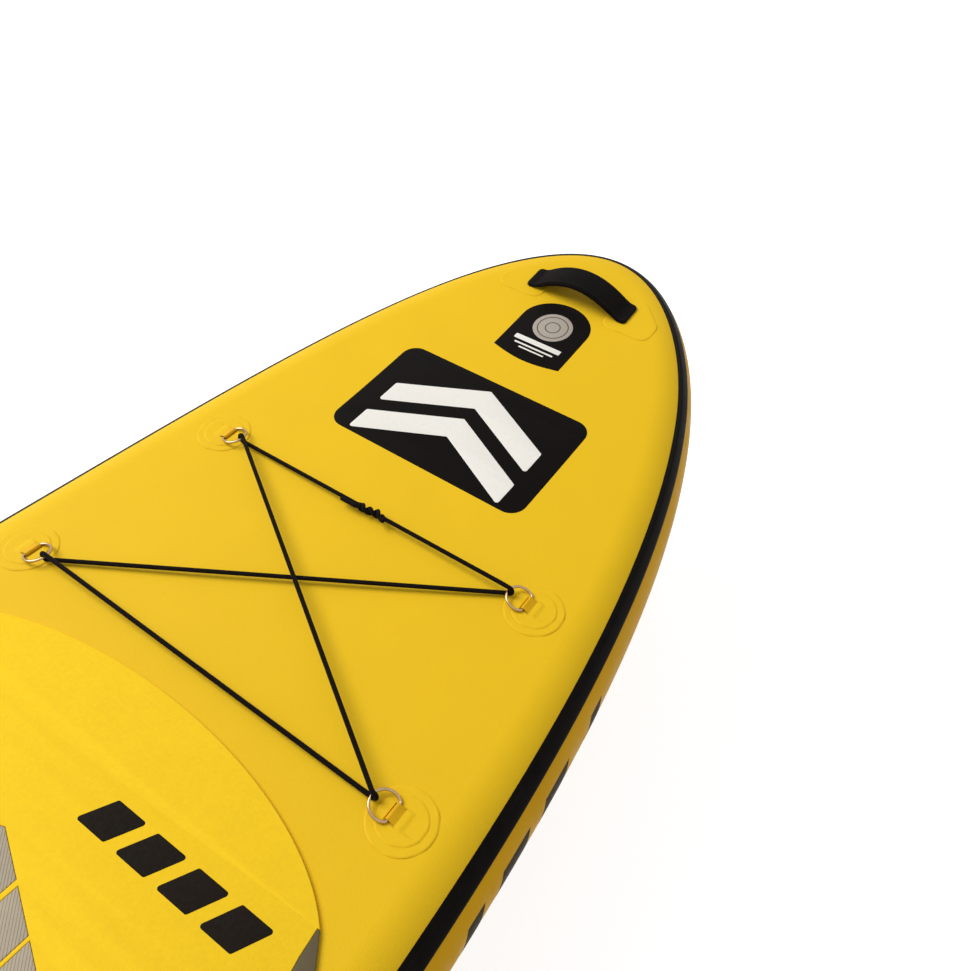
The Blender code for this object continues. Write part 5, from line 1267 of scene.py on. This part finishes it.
def slantedBox(left, right, low, high, corner, steps, slant=0.0):
    shift = slant / 2
    corners = [(right + shift, high), (left + shift, high), (left - shift, low), (right - shift, low)]
    return roundCorners(corners, corner, steps)


def makeDeckPrint():
    p, c, b = deckPrint["panel"], deckPrint["chevron"], deckPrint["badge"]
    printPlate("deckPanelPrint", [roundedLoop(*p["half"], p["corner"], 12, p["centre"])], "printBlack")
    half, stroke = c["half"], c["stroke"]
    for index, tip in enumerate(c["tips"]):
        foot = tip - c["drop"]
        left = [(0.0, tip), (-half, foot), (-half, foot - stroke)]
        corners = left + [(0.0, tip - stroke), (half, foot - stroke), (half, foot)]
        printPlate("deckChevron_%d" % (index + 1), [roundCorners(corners, c["corner"], 4)], "printWhite", 1)
    w, tall = b["halfWidth"], b["top"] - b["shoulder"]
    arch = [(w * cos(a), b["shoulder"] + tall * sin(a)) for a in np.linspace(0, pi, 40)]
    foot = [(-w + 2 * w * k / 14, b["foot"] - b["bow"] * sin(pi * k / 14)) for k in range(15)]
    printPlate("noseBadge", [arch + foot], "printBlack")
    printPlate("badgeDisc", [circleLoop(b["discRadius"], 72, 0.0, b["discAt"])], "printGrey", 1)
    for index, (outer, inner) in enumerate(b["rings"]):
        loops = [circleLoop(outer, 64, 0.0, b["discAt"]), circleLoop(inner, 64, 0.0, b["discAt"])[::-1]]
        printPlate("badgeRing_%d" % (index + 1), loops, "printDarkGrey", 2)
    for index, (half, y, tall) in enumerate(b["bars"]):
        loop = slantedBox(-half, half, y - tall / 2, y + tall / 2, tall * 0.2, 3)
        printPlate("badgeBar_%d" % (index + 1), [loop], "printWhite", 1)


# Slanted bars printed along the sides; every third one is short.
railBars = {
    "first": 0.810, "count": 9, "pitch": 0.098, "length": 0.060, "slant": 0.022, "high": 17.0, "low": -19.0,
    "lift": 0.00005, "thickness": 0.00012, "short": 0.55, "grid": 8,
}


def railSheet(bm, side, start, length, grow):
    # One face of a bar: a grid of points that follows the side.
    r = railBars
    grid = []
    for i in range(r["grid"] + 1):
        up = i / r["grid"]
        x, y, z = railLine(r["low"] + (r["high"] - r["low"]) * up, grow)[::-1].T
        places = [start + r["slant"] * up - length * j / r["grid"] for j in range(r["grid"] + 1)]
        grid.append([bm.verts.new((side * np.interp(at, y, x), at, np.interp(at, y, z))) for at in places])
    return grid


def makeRailBars():
    r = railBars
    n = r["grid"]
    rim = [(0, j) for j in range(n)] + [(i, n) for i in range(n)]
    rim += [(n - i, n - j) for i, j in rim]
    for label, side in sides:
        bm = bmesh.new()
        for index in range(r["count"]):
            start = r["first"] - index * r["pitch"]
            length = r["length"] * (1.0 if index % 3 else r["short"])
            under = railSheet(bm, side, start, length, r["lift"])
            over = railSheet(bm, side, start, length, r["lift"] + r["thickness"])
            for i in range(n):
                for j in range(n):
                    bm.faces.new((over[i][j], over[i][j + 1], over[i + 1][j + 1], over[i + 1][j]))
                    bm.faces.new((under[i][j], under[i + 1][j], under[i + 1][j + 1], under[i][j + 1]))
            for (i, j), (m, n2) in zip(rim, rim[1:] + rim[:1]):
                bm.faces.new((over[i][j], under[i][j], under[m][n2], over[m][n2]))
        bmesh.ops.recalc_face_normals(bm, faces=bm.faces)
        addObject("railBars_" + label, closed(bm, 30.0), "railPrint")


pad = {
    "fromNose": 1.110, "noseCurve": 0.145, "margin": 0.009, "fromTail": 0.330, "tailCurve": 0.110,
    "thickness": 0.0045, "bevel": 0.0009, "low": 0.0003, "gap": 0.0004, "step": 0.025,
    "accent": {"setback": 0.090, "end": 0.004, "fromTail": 0.560, "width": 0.020, "taper": 0.030},
    "chevron": {"setback": 0.202, "slope": 0.46, "half": 0.0545, "length": 0.120},
    "bars": {"inner": (0.0615, 0.1080), "outer": (0.1130, 0.1560), "fromTail": 0.700},
    "opening": {"halfX": 0.055, "halfY": 0.157, "corner": 0.044, "centre": -0.030},
    "marks": {
        "first": 0.0560, "pitch": 0.0590, "width": 0.0430, "low": 0.3350, "high": 0.3740, "slant": 0.0200,
        "count": 4, "sunk": 0.00005, "thickness": 0.00020, "bevel": 0.00004, "corner": 0.003,
    },
}
padFront = halfLength - pad["fromNose"]
padBack = pad["fromTail"] - halfLength


def padHalf(y):
    width = float(np.interp(y, flatEdge[::-1, 1], flatEdge[::-1, 0])) - pad["margin"]
    fromNose = max((y - (padFront - pad["noseCurve"])) / pad["noseCurve"], 0.0)
    fromTail = max(((padBack + pad["tailCurve"]) - y) / pad["tailCurve"], 0.0)
    return width * sqrt(max(1 - fromNose**2, 0.0)) * sqrt(max(1 - fromTail**2, 0.0))


def barLoop(side, low, high, grow=0.0):
    # A slanted bar beside the chevron, or the wider hole that it lies in.
    c = pad["chevron"]
    front, back = padFront - c["setback"], pad["bars"]["fromTail"] - halfLength
    a, b, lead = low - grow, high + grow, grow * hypot(1.0, c["slope"])
    loop = [(a, back - c["slope"] * a - lead), (b, back - c["slope"] * b - lead)]
    loop += [(b, front - c["slope"] * b + lead), (a, front - c["slope"] * a + lead)]
    return [(side * x, y) for x, y in loop][::side]


def chevronLoop(grow=0.0):
    c = pad["chevron"]
    half, tip = c["half"] + grow, padFront - c["setback"] + grow * hypot(1.0, c["slope"])
    foot, shoulderY = padFront - c["setback"] - c["length"] - grow, tip - c["slope"] * half
    return [(-half, foot), (half, foot), (half, shoulderY), (0.0, tip), (-half, shoulderY)]


def padPlate(name, loops, finish, node):
    mesh = drapedPlate(loops, pad["low"], pad["thickness"], pad["bevel"], (0.0, pad["step"]), sharp=40.0)
    return addObject(name, mesh, finish, node)


def stepIn(outer, inside, side, first, last):
    # Replaces the stretch of an outline beside an edge strip by the strip's inner edge.
    gap = pad["gap"]
    line = [(side * padHalf(last - gap), last - gap)]
    line += [(x - side * gap, y) for x, y in inside]
    line += [(side * padHalf(first + gap), first + gap)]
    kept = [(x, y) for x, y in outer if x * side <= 0 or y > first + gap or y < last - gap]
    result = []
    for here, following in zip(kept, kept[1:] + kept[:1]):
        result.append(here)
        onSide = here[0] * side > 0 and following[0] * side > 0
        if onSide and abs(here[1] - following[1]) > 0.9 * (first - last):
            result += line if here[1] < following[1] else line[::-1]
    return result


def makePad():
    turns = np.linspace(0.0, pi / 2, 34)[1:]
    rows = [padFront - pad["noseCurve"] * (1 - cos(t)) for t in turns]
    rows += list(np.linspace(padFront - pad["noseCurve"], padBack + pad["tailCurve"], 60)[1:-1])
    rows += [padBack + pad["tailCurve"] * (1 - cos(t)) for t in turns[::-1]]
    right = [(padHalf(y), y) for y in rows]
    outer = [(0.0, padFront)] + right + [(0.0, padBack)] + [(-x, y) for x, y in right[::-1]]
    outer = outer[::-1]
    o, a, m = pad["opening"], pad["accent"], pad["marks"]
    holes = [roundedLoop(o["halfX"], o["halfY"], o["corner"], 10, o["centre"])[::-1]]
    inlays = []
    for row in ("inner", "outer"):
        for label, side in sides:
            which = "_%s_%s" % (row, label)
            inlays.append(("padBar" + which, barLoop(side, *pad["bars"][row]), "pad_bar" + which))
            holes.append(barLoop(side, *pad["bars"][row], pad["gap"])[::-1])
    inlays.append(("padChevron", chevronLoop(), "pad_chevron"))
    holes.append(chevronLoop(pad["gap"])[::-1])
    first, last = padFront - a["setback"], a["fromTail"] - halfLength
    ys = sorted({first, first - a["taper"], last + a["taper"], last, *np.linspace(last, first, 50)})
    for label, side in sides:
        outside = [(side * padHalf(y), y) for y in ys]
        widths = [a["width"] * min(1.0, (min(first - y, y - last) + a["end"]) / a["taper"]) for y in ys]
        inside = [(side * (padHalf(y) - width), y) for y, width in zip(ys, widths)]
        loop = (outside + inside[::-1])[::side]
        padPlate("padAccent_" + label, [loop], "foamDark", "pad_accent_" + label)
        # The pad's own edge steps in to make room for the strip.
        outer = stepIn(outer, inside, side, first, last)
    body = padPlate("padBody", [outer] + holes, "foam", "traction_pad")
    for name, loop, node in inlays:
        padPlate(name, [loop], "foamLight", node)
    low = pad["low"] + pad["thickness"] - m["sunk"]
    for k in range(m["count"]):
        x = m["first"] + k * m["pitch"]
        loop = slantedBox(x, x + m["width"], m["low"], m["high"], m["corner"], 4, m["slant"])
        mesh = drapedPlate([loop], low, m["thickness"], m["bevel"], (0.0, pad["step"]), sharp=40.0)
        addObject("padMark_%d" % (k + 1), mesh, "foamPrint")


still = Matrix.Identity(4)


def turnedMesh(profile, ring=True, steps=72, teeth=0, tooth=0.0, toothed=(9.0, 9.0), sharp=35.0):
    # A turned solid about Z from (radius, height, rounding) corners; radii in the toothed span get ribs.
    rows = []
    for radius, height in roundCorners([corner[:2] for corner in profile], [r for _, _, r in profile], 4):
        row = []
        for k in range(steps):
            angle = fullTurn * k / steps
            reach = radius
            if toothed[0] <= radius <= toothed[1]:
                reach -= tooth * (0.5 + 0.5 * cos(teeth * angle)) ** 2
            row.append((reach * cos(angle), reach * sin(angle), height))
        rows.append(row)
    if ring:
        rows.append(rows[0])
    return loftMesh(rows, caps=False, weld=2e-7, sharp=sharp)


def blockMesh(low, high, rounding=0.0):
    # A block with all its edges rounded.
    low, high = Vector(low), Vector(high)
    bm = bmesh.new()
    bmesh.ops.create_cube(bm, size=1.0)
    bmesh.ops.scale(bm, vec=high - low, verts=bm.verts)
    bmesh.ops.translate(bm, vec=(high + low) / 2, verts=bm.verts)
    if rounding:
        bmesh.ops.bevel(bm, geom=bm.edges[:], offset=rounding, segments=3, profile=0.5, affect="EDGES")
    return closed(bm, 40.0)


def rod(radius, low, high, rounding=0.0, steps=32):
    profile = [(0.0, low, 0.0), (radius, low, rounding), (radius, high, rounding), (0.0, high, 0.0)]
    return turnedMesh(profile, ring=False, steps=steps)


def carve(mesh, tools, sharp=35.0):
    # Joins meshes to a solid or takes them away, in turn; tools are (operation, mesh, place).
    holder = linked("solid", mesh)
    spare = []
    for operation, toolMesh, place in tools:
        toolMesh.transform(place)
        spare.append(linked("tool", toolMesh))
        modifier = holder.modifiers.new(operation, "BOOLEAN")
        modifier.operation = operation
        modifier.solver = "EXACT"
        modifier.object = spare[-1]
    result = evaluated(holder, spare)
    bm = opened(result)
    weldClose(bm, 2e-6)
    return closed(bm, sharp, result)


def placed(mesh, place):
    mesh.transform(place)
    return mesh


# The inflation valve; heights are over the deck's face at the valve.
valve = {
    "x": 0.140, "y": -1.370, "flange": 0.0290, "flangeLow": 0.0006, "flangeHigh": 0.0034, "stem": 0.0200,
    "bore": 0.0160, "depth": 0.0240, "lip": 0.0030, "hubDrop": 0.0150, "hub": 0.0030, "hubRadius": 0.0055,
    "spoke": 0.0026, "guide": 0.0031, "plungerStem": 0.0028, "button": 0.0055, "buttonDrop": 0.0060,
    "buttonThick": 0.0020, "seal": 0.0175, "sealThick": 0.0030, "springWire": 0.0005, "springRadius": 0.0042,
    "springTurns": 3, "springSteps": 24, "travel": 0.0030, "gap": 0.0003, "cap": 0.0245, "capHeight": 0.0080,
    "capPlug": 0.0130, "capNeck": 0.0190, "capReach": 0.0030, "gripHigh": 0.0055, "gripWide": 0.0070,
    "gripShare": 0.72, "tether": 0.0016, "tetherRing": 0.0235, "tetherWidth": 0.0090, "hinge": 0.0345,
    "pin": 0.0010, "eye": 0.0022, "cheek": 0.0018,
    "nut": {"outer": 0.0300, "inner": 0.0203, "top": -0.0018, "thick": 0.0070},
    "lugs": {"teeth": 12, "tooth": -0.0006}, "nutTeeth": {"teeth": 24, "tooth": 0.0009},
    "capTeeth": {"teeth": 36, "tooth": 0.0007},
}


def makeValveHousing(place, hinge, middle):
    v = valve
    high, low, gap, bore = v["flangeHigh"], v["flangeLow"], v["gap"], v["bore"]
    depth, hubLow = -v["depth"], -v["hubDrop"]
    hubTop = hubLow + v["hub"]
    body = turnedMesh([
        (v["flange"], high, 0.0010), (v["flange"], low, 0.0003), (v["stem"], low, 0.0),
        (v["stem"], depth, 0.0006), (bore - v["lip"] / 2, depth, 0.0004), (bore, depth + v["lip"], 0.0004),
        (bore, high, 0.0006),
    ], steps=144, toothed=(bore - 0.0001, bore + 0.0007), **v["lugs"])
    reach, half = (bore + v["stem"]) / 2, v["spoke"] / 2
    tools = []
    for k in range(2):
        spoke = blockMesh((-reach, -half, hubLow), (reach, half, hubTop), 0.0004)
        tools.append(("UNION", spoke, Matrix.Rotation(pi / 2 * k + 0.001, 4, "Z")))
    tools.append(("UNION", rod(v["hubRadius"], hubLow - 0.0003, hubTop + 0.0003, 0.0006), still))
    tools.append(("DIFFERENCE", rod(v["guide"], depth, 0.0), still))
    near = v["tetherWidth"] / 2 + gap
    for side in (-1, 1):
        span = sorted((side * near, side * (near + v["cheek"])))
        foot = (v["flange"] - 0.003, span[0], low + 0.00005)
        head = (v["hinge"] + v["eye"], span[1], middle + v["eye"])
        tools.append(("UNION", blockMesh(foot, head, 0.0006), still))
    pinReach = near + v["cheek"] / 2
    tools.append(("UNION", rod(v["pin"], -pinReach, pinReach), hinge))
    addObject("valveHousing", placed(carve(body, tools), place), "valve", "valve_body")
    return hubTop


def makeValveNut(place):
    n = valve["nut"]
    outer, inner, top, foot = n["outer"], n["inner"], n["top"], n["top"] - n["thick"]
    nut = turnedMesh([
        (outer, top, 0.0006), (outer, top - n["thick"] / 2, 0.0006), (outer - 0.005, foot, 0.0006),
        (inner, foot, 0.0004), (inner, top, 0.0004),
    ], steps=144, toothed=(outer - 0.0016, outer), **valve["nutTeeth"])
    addObject("valveLockNut", placed(nut, place), "valve", "valve_nut")


def makeValveStopper(place, hubTop):
    v = valve
    buttonTop, sealTop = v["flangeHigh"] - v["buttonDrop"], -v["depth"] - v["gap"]
    buttonLow, sealLow = buttonTop - v["buttonThick"], sealTop - v["sealThick"]
    plunger = turnedMesh([
        (0.0, buttonTop, 0.0), (v["button"], buttonTop, 0.0007), (v["button"], buttonLow, 0.0004),
        (v["plungerStem"], buttonLow, 0.0), (v["plungerStem"], sealTop, 0.0), (v["seal"], sealTop, 0.0003),
        (v["seal"] - 0.001, sealLow, 0.0006), (0.0, sealLow, 0.0),
    ], ring=False)
    addObject("valveStopper", placed(plunger, place), "rubber", "valve_plunger", "valve_plunger")
    wire, steps = v["springWire"], v["springSteps"]
    low, high = hubTop + 2 * v["gap"] + wire, buttonLow - v["gap"] - wire
    count = steps * v["springTurns"]
    turn = circleLoop(v["springRadius"], steps)
    coil = [place @ Vector((*turn[k % steps], low + (high - low) * k / count)) for k in range(count + 1)]
    spring = addObject("returnSpring", tubeMesh(coil, wire, 12), "steel", "valve_spring")
    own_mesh(spring)


def makeValveCap(place, hinge, middle):
    v = valve
    gap, plug, plugLow = v["gap"], v["capPlug"], v["flangeHigh"] - v["capReach"]
    neckLow = v["flangeHigh"] + gap
    low = neckLow + v["tether"] + gap
    high = low + v["capHeight"]
    cap = turnedMesh([
        (0.0, high, 0.0), (v["cap"], high, 0.0018), (v["cap"], low, 0.0005), (v["capNeck"], low, 0.0002),
        (v["capNeck"], neckLow, 0.0002), (plug, neckLow, 0.0002), (plug - 0.001, plugLow, 0.0006),
        (0.0, plugLow, 0.0),
    ], ring=False, steps=216, toothed=(v["cap"] - 0.0009, v["cap"]), sharp=50.0, **v["capTeeth"])
    reach, half = v["cap"] * v["gripShare"], v["gripWide"] / 2
    grip = blockMesh((-reach, -half, high - 0.001), (reach, half, high + v["gripHigh"]), 0.0022)
    cap = placed(carve(cap, [("UNION", grip, still)], 40.0), place)
    addObject("valveTwistCap", cap, "valve", "valve_cap", "valve_cap")
    half = v["tetherWidth"] / 2
    swing = asin(half / v["tetherRing"])
    ring = arc(0.0, 0.0, v["tetherRing"], np.linspace(swing, fullTurn - swing, 72))
    ring += [(v["hinge"], -half), (v["hinge"], half)]
    tether = outlinePlate([ring, circleLoop(v["capNeck"] + gap, 72)[::-1]], v["tether"], 0.0003)
    tether.transform(Matrix.Translation((0.0, 0.0, middle)))
    eye, bore = rod(v["eye"], -half, half, 0.0004), rod(v["pin"] + gap, -2 * half, 2 * half)
    tether = carve(tether, [("UNION", eye, hinge), ("DIFFERENCE", bore, hinge)])
    addObject("capLeash", placed(tether, place), "rubber", "cap_tether", "cap_tether")


def makeValve():
    v = valve
    place = seatAt(v["x"], v["y"], v["flange"], deckTop)
    hole = rod(v["stem"] + v["gap"], -0.010, 0.010, steps=72)
    deckSkin.data = carve(deckSkin.data, [("DIFFERENCE", hole, place)], 30.0)
    dress(deckSkin, "deck")
    middle = v["flangeHigh"] + v["gap"] + v["tether"] / 2
    hinge = Matrix.Translation((v["hinge"], 0.0, middle)) @ Matrix.Rotation(pi / 2, 4, "X")
    hubTop = makeValveHousing(place, hinge, middle)
    makeValveNut(place)
    makeValveStopper(place, hubTop)
    makeValveCap(place, hinge, middle)


# The fin box and its fin, thumb screw and pin; heights are under the bottom's face.
finBox = {
    "y": -1.300, "length": 0.262, "width": 0.034, "height": 0.026, "flare": 0.016, "flange": 0.003,
    "gap": 0.0003, "slot": (0.236, 0.0089, 0.0230), "entry": 0.0140, "step": 0.0005,
    "channel": (0.0146, 0.0080, 0.0135), "over": 0.002, "bend": 0.020,
}
centreFin = {
    "forward": -0.010, "tab": (0.150, 0.0083, 0.0215), "tabEdge": 0.0004, "tongue": 0.022,
    "tongueThick": 0.0040, "tongueBack": 0.012, "tongueShort": 0.004, "screwFromEnd": 0.006,
    "pin": 0.0020, "pinLength": 0.0136, "pinFromEnd": 0.010,
    "nut": (0.0134, 0.0160, 0.0030), "screw": 0.0020, "screwPast": 0.0015, "head": 0.0080,
    "headThick": 0.0060, "clearance": 0.0003,
    "slot": (0.0006, 0.0060, 0.0014), "knurl": {"teeth": 24, "tooth": 0.0006},
    "blade": {
        "chord": 0.150, "tipChord": 0.030, "depth": 0.205, "sweep": 0.098, "root": 0.0078, "thin": 0.55,
        "top": -0.0016, "power": 2.4,
    },
}
sideFin = {
    "x": 0.150, "y": -1.200, "base": (0.046, 0.150, 0.0030), "corner": 0.45, "bevel": 0.0006, "toe": 2.5,
    "blade": {
        "chord": 0.110, "tipChord": 0.024, "depth": 0.110, "sweep": 0.058, "root": 0.0070, "thin": 0.5,
        "top": -0.0018, "power": 2.2,
    },
}


def finSection(chord, thick, lead, z, blunt=False, steps=30):
    # A streamlined section with its leading edge at lead, or a parallel tab with round ends.
    nose = 0.5 * thick / chord
    edge = []
    for k in range(steps + 1):
        t = (1 - cos(pi * k / steps)) / 2
        half = 5 * thick * (0.2969 * sqrt(t) - 0.1260 * t - 0.3516 * t**2 + 0.2843 * t**3 - 0.1015 * t**4)
        half += 0.0004 * t
        if blunt:
            end = min(min(t, 1 - t) / nose, 1.0)
            half = thick / 2 * sqrt(1 - (1 - end) ** 2)
        edge.append((half, lead - chord * t, z))
    return edge[:-1] + [(0.0, edge[-1][1], z)] + [(-half, y, z) for half, y, _ in edge[-2:0:-1]]


def finBlade(chord, tipChord, depth, sweep, root, thin, top, power, rows=()):
    # A swept blade whose last few millimetres turn in to a rounded tip.
    sections = list(rows)
    for k in range(49):
        t = 1 - (1 - k / 48) ** 1.7
        length = chord + (tipChord - chord) * (0.35 * t + 0.65 * t**power)
        lead = chord / 2 - sweep * (0.45 * t + 0.55 * t**1.6)
        u = max(0.0, 1 - depth * (1 - t) / (0.36 * tipChord))
        cut = 0.36 * tipChord * (1 - sqrt(1 - 0.97 * u * u))
        thick = root * (1 - thin * t) * sqrt(1 - 0.80 * u**4)
        sections.append(finSection(length - 1.9 * cut, thick, lead - cut, top - depth * t))
    return loftMesh(sections, weld=1e-7, sharp=40.0)


def makeFinBox(place, inside, mouth):
    b = finBox
    foot, flare = -b["gap"], b["flare"]
    under = foot - b["flange"]
    # The flange's rim, its sweep into the box, and the box's rounded end, as (growth, height, corner).
    rings = [
        (flare, foot, 0.020), (flare, under + 0.0012, 0.020),
        (flare - 0.0004, under + 0.0004, 0.0196), (flare - 0.0012, under, 0.0188),
    ]
    for a in np.linspace(0.15, pi / 2, 7):
        near, fall = 1 - sin(a), 1 - cos(a)
        rings.append((0.003 + (flare - 0.0052) * near, under - 0.0042 * fall - 0.0002, 0.010 + 0.008 * near))
    rings += [
        (0.0, mouth + 0.003, 0.009), (-0.0008, mouth + 0.0012, 0.0085), (-0.0018, mouth + 0.0003, 0.008),
        (-0.003, mouth, 0.008),
    ]
    sections = []
    for grow, z, corner in rings:
        loop = roundedLoop(b["width"] / 2 + grow, b["length"] / 2 + grow, corner, 10)
        sections.append([place @ Vector((x, y, z)) for x, y in loop])
    mesh = loftMesh(sections, weld=1e-7, sharp=30.0)
    bm = opened(mesh)
    cutAcross(bm, 1, b["bend"])
    inverse = place.inverted()
    for vert in bm.verts:
        if abs((inverse @ vert.co).z - foot) < 2e-5:
            vert.co.z = bottomLow(0.0, vert.co.y) + foot
    bm.to_mesh(mesh)
    bm.free()
    length, width, depth = b["slot"]
    wide, bed, ceiling = b["channel"]
    half, wide, step = length / 2, wide / 2, b["step"]
    cuts = (
        ((-width / 2, -half, -b["over"]), (width / 2, half, depth)),
        ((-wide, -half + step, bed), (wide, half - step, ceiling)),
        ((-wide - step, -half - step, -b["over"]), (wide + step, -half + b["entry"], bed + step)),
    )
    tools = [("DIFFERENCE", blockMesh(*cut), inside) for cut in cuts]
    addObject("finBoxBody", carve(mesh, tools), "finBox", "fin_box")


def makeCentreFin(inside):
    c, gap = centreFin, finBox["gap"]
    depth = finBox["slot"][2]
    _, bed, ceiling = finBox["channel"]
    seat = inside @ Matrix.Translation((0.0, c["forward"], 0.0))
    chord, thick, tall = c["tab"]
    front, edge = chord / 2, c["tabEdge"]
    tab = [
        finSection(chord - 2 * edge, thick - 2 * edge, front - edge, tall, True),
        finSection(chord, thick, front, tall - 0.0005, True), finSection(chord, thick, front, -0.0006, True),
    ]
    tongueLow, tongueFront = bed - gap - c["tongueThick"], front + c["tongue"] - c["tongueShort"]
    screwAt = Matrix.Translation((0.0, tongueFront - c["screwFromEnd"], 0.0))
    across = Matrix.Translation((0.0, -front + c["pinFromEnd"], (bed + ceiling) / 2))
    across = across @ Matrix.Rotation(pi / 2, 4, "Y")
    half, tongueTop = thick / 2 - 0.0002, tongueLow + c["tongueThick"]
    tongue = blockMesh((-half, front - c["tongueBack"], tongueLow), (half, tongueFront, tongueTop), 0.0005)
    blade = carve(finBlade(rows=tab, **c["blade"]), [
        ("UNION", tongue, still),
        ("DIFFERENCE", rod(c["screw"] + c["clearance"], -0.010, depth), screwAt),
        ("DIFFERENCE", rod(c["pin"] + gap, -thick, thick), across),
    ], 40.0)
    addObject("centreFinBlade", placed(blade, seat), "fin", "centre_fin", "centre_fin")
    reach = c["pinLength"] / 2
    pin = placed(rod(c["pin"], -reach, reach, 0.0004), seat @ across)
    addObject("crossPin", pin, "brass", "fin_pin", "centre_fin")
    wide, long, tall = c["nut"]
    low = bed + gap
    nut = blockMesh((-wide / 2, -long / 2, low), (wide / 2, long / 2, low + tall), 0.0003)
    nut = carve(nut, [("DIFFERENCE", rod(c["screw"] + c["clearance"], -0.010, depth), still)])
    addObject("plateNut", placed(nut, seat @ screwAt), "steel", "fin_plate_nut", "centre_fin")
    makeThumbScrew(seat @ screwAt, min(tongueLow - gap, -gap), low + tall + c["screwPast"])


def makeThumbScrew(place, headTop, tip):
    c = centreFin
    foot = headTop - c["headThick"]
    screw = turnedMesh([
        (0.0, tip, 0.0), (c["screw"], tip, 0.0005), (c["screw"], headTop, 0.0), (c["head"], headTop, 0.0005),
        (c["head"], foot, 0.0011), (0.0, foot, 0.0),
    ], ring=False, steps=144, toothed=(c["head"] - 0.0006, c["head"]), sharp=50.0, **c["knurl"])
    wide, long, deep = c["slot"]
    slotCut = blockMesh((-wide, -long, foot - 0.001), (wide, long, foot + deep))
    screw = carve(screw, [("DIFFERENCE", slotCut, still)], 50.0)
    addObject("thumbScrew", placed(screw, place), "steel", "fin_screw", "fin_screw")


def makeSideFins():
    s = sideFin
    wide, long, thick = s["base"]
    for label, side in sides:
        at = (side * s["x"], s["y"])
        loop = roundedLoop(wide / 2, long / 2, wide * s["corner"], 14)
        base = drapedPlate([loop], finBox["gap"], thick, s["bevel"], (0.0, 0.012), at,
                           surface=bottomLow, side=-1, sharp=40.0)
        turn = seatAt(*at, long / 2, bottomLow) @ Matrix.Rotation(radians(side * s["toe"]), 4, "Z")
        mesh = carve(base, [("UNION", finBlade(**s["blade"]), turn)], 40.0)
        addObject("sideFinBlade_" + label, mesh, "fin", "side_fin_" + label)


def makeFins():
    place = seatAt(0.0, finBox["y"], finBox["length"] / 2, bottomLow)
    mouth = -finBox["gap"] - finBox["height"]
    inside = place @ Matrix.Translation((0.0, 0.0, mouth))
    makeFinBox(place, inside, mouth)
    makeCentreFin(inside)
    makeSideFins()


makeValve()
makeFins()
for place in frame["nodes"]["drop_stitch_core"].material_slots:
    place.material = finishes["core"][0]
print("valve and fins made")

flats, bars = ringBars()
makeRingSets(flats, bars)
makeLacing(bars)
print("rings and lacing made")
makeGrip("nose")
makeGrip("carry")
print("handles made")
makeDeckPrint()
makeRailBars()
makePad()
print("prints and pad made")

studio = {
    "floorDrop": 0.004, "floorSize": 14.0, "worldLight": 0.43, "keyPower": 352.0, "keySize": 4.5,
    "keyPlace": (-4.2, -0.6, 4.8), "keyAim": (0.0, 0.6, 0.15), "floorTone": (0.60, 0.60, 0.60, 1.0),
    "floorGlow": 0.78,
}
white = (1.0, 1.0, 1.0, 1.0)


def makeFloor():
    # Pale paper with a little light of its own, which only the camera and mirrored rays see.
    lowest = min(cadBounds[0][2], cadBounds[1][2]) - studio["floorDrop"]
    size = studio["floorSize"]
    corners = [(x * size, y * size, lowest) for x, y in ((-1, -1), (1, -1), (1, 1), (-1, 1))]
    mesh = bpy.data.meshes.new("studioFloor")
    mesh.from_pydata(corners, [], [(0, 1, 2, 3)])
    linked("studioFloor", mesh)
    f = Finish("floorPaper", studio["floorTone"], 0.9, 0.0)
    glow = f.node("Emission", Color=white, Strength=f.sum(f.seen(), studio["floorGlow"], "MULTIPLY"))
    both = f.node("AddShader", (f.shader.outputs[0], glow.outputs[0]))
    f.feed(f.out.inputs[0], both.outputs[0])
    mesh.materials.append(f.material)


def makeWorld():
    # Even light from all round, behind a plain white backdrop.
    world = bpy.data.worlds.new("studioWorld")
    w = Nodes(world)
    lit = w.node("Background", Color=white, Strength=studio["worldLight"])
    plain = w.node("Background", Color=white, Strength=1.0)
    mix = w.node("MixShader", (w.seen(), lit.outputs[0], plain.outputs[0]))
    w.node("OutputWorld", (mix.outputs[0],))
    bpy.context.scene.world = world


def makeKeyLight():
    data = bpy.data.lights.new("softKey", "AREA")
    data.shape = "DISK"
    data.size = studio["keySize"]
    data.energy = studio["keyPower"]
    key = linked("softKey", data)
    key.location = studio["keyPlace"]
    aim = Vector(studio["keyAim"]) - Vector(studio["keyPlace"])
    key.rotation_euler = aim.to_track_quat("-Z", "Y").to_euler()


makeFloor()
makeWorld()
makeKeyLight()
bpy.context.scene.view_settings.view_transform = "Standard"
print("studio set")
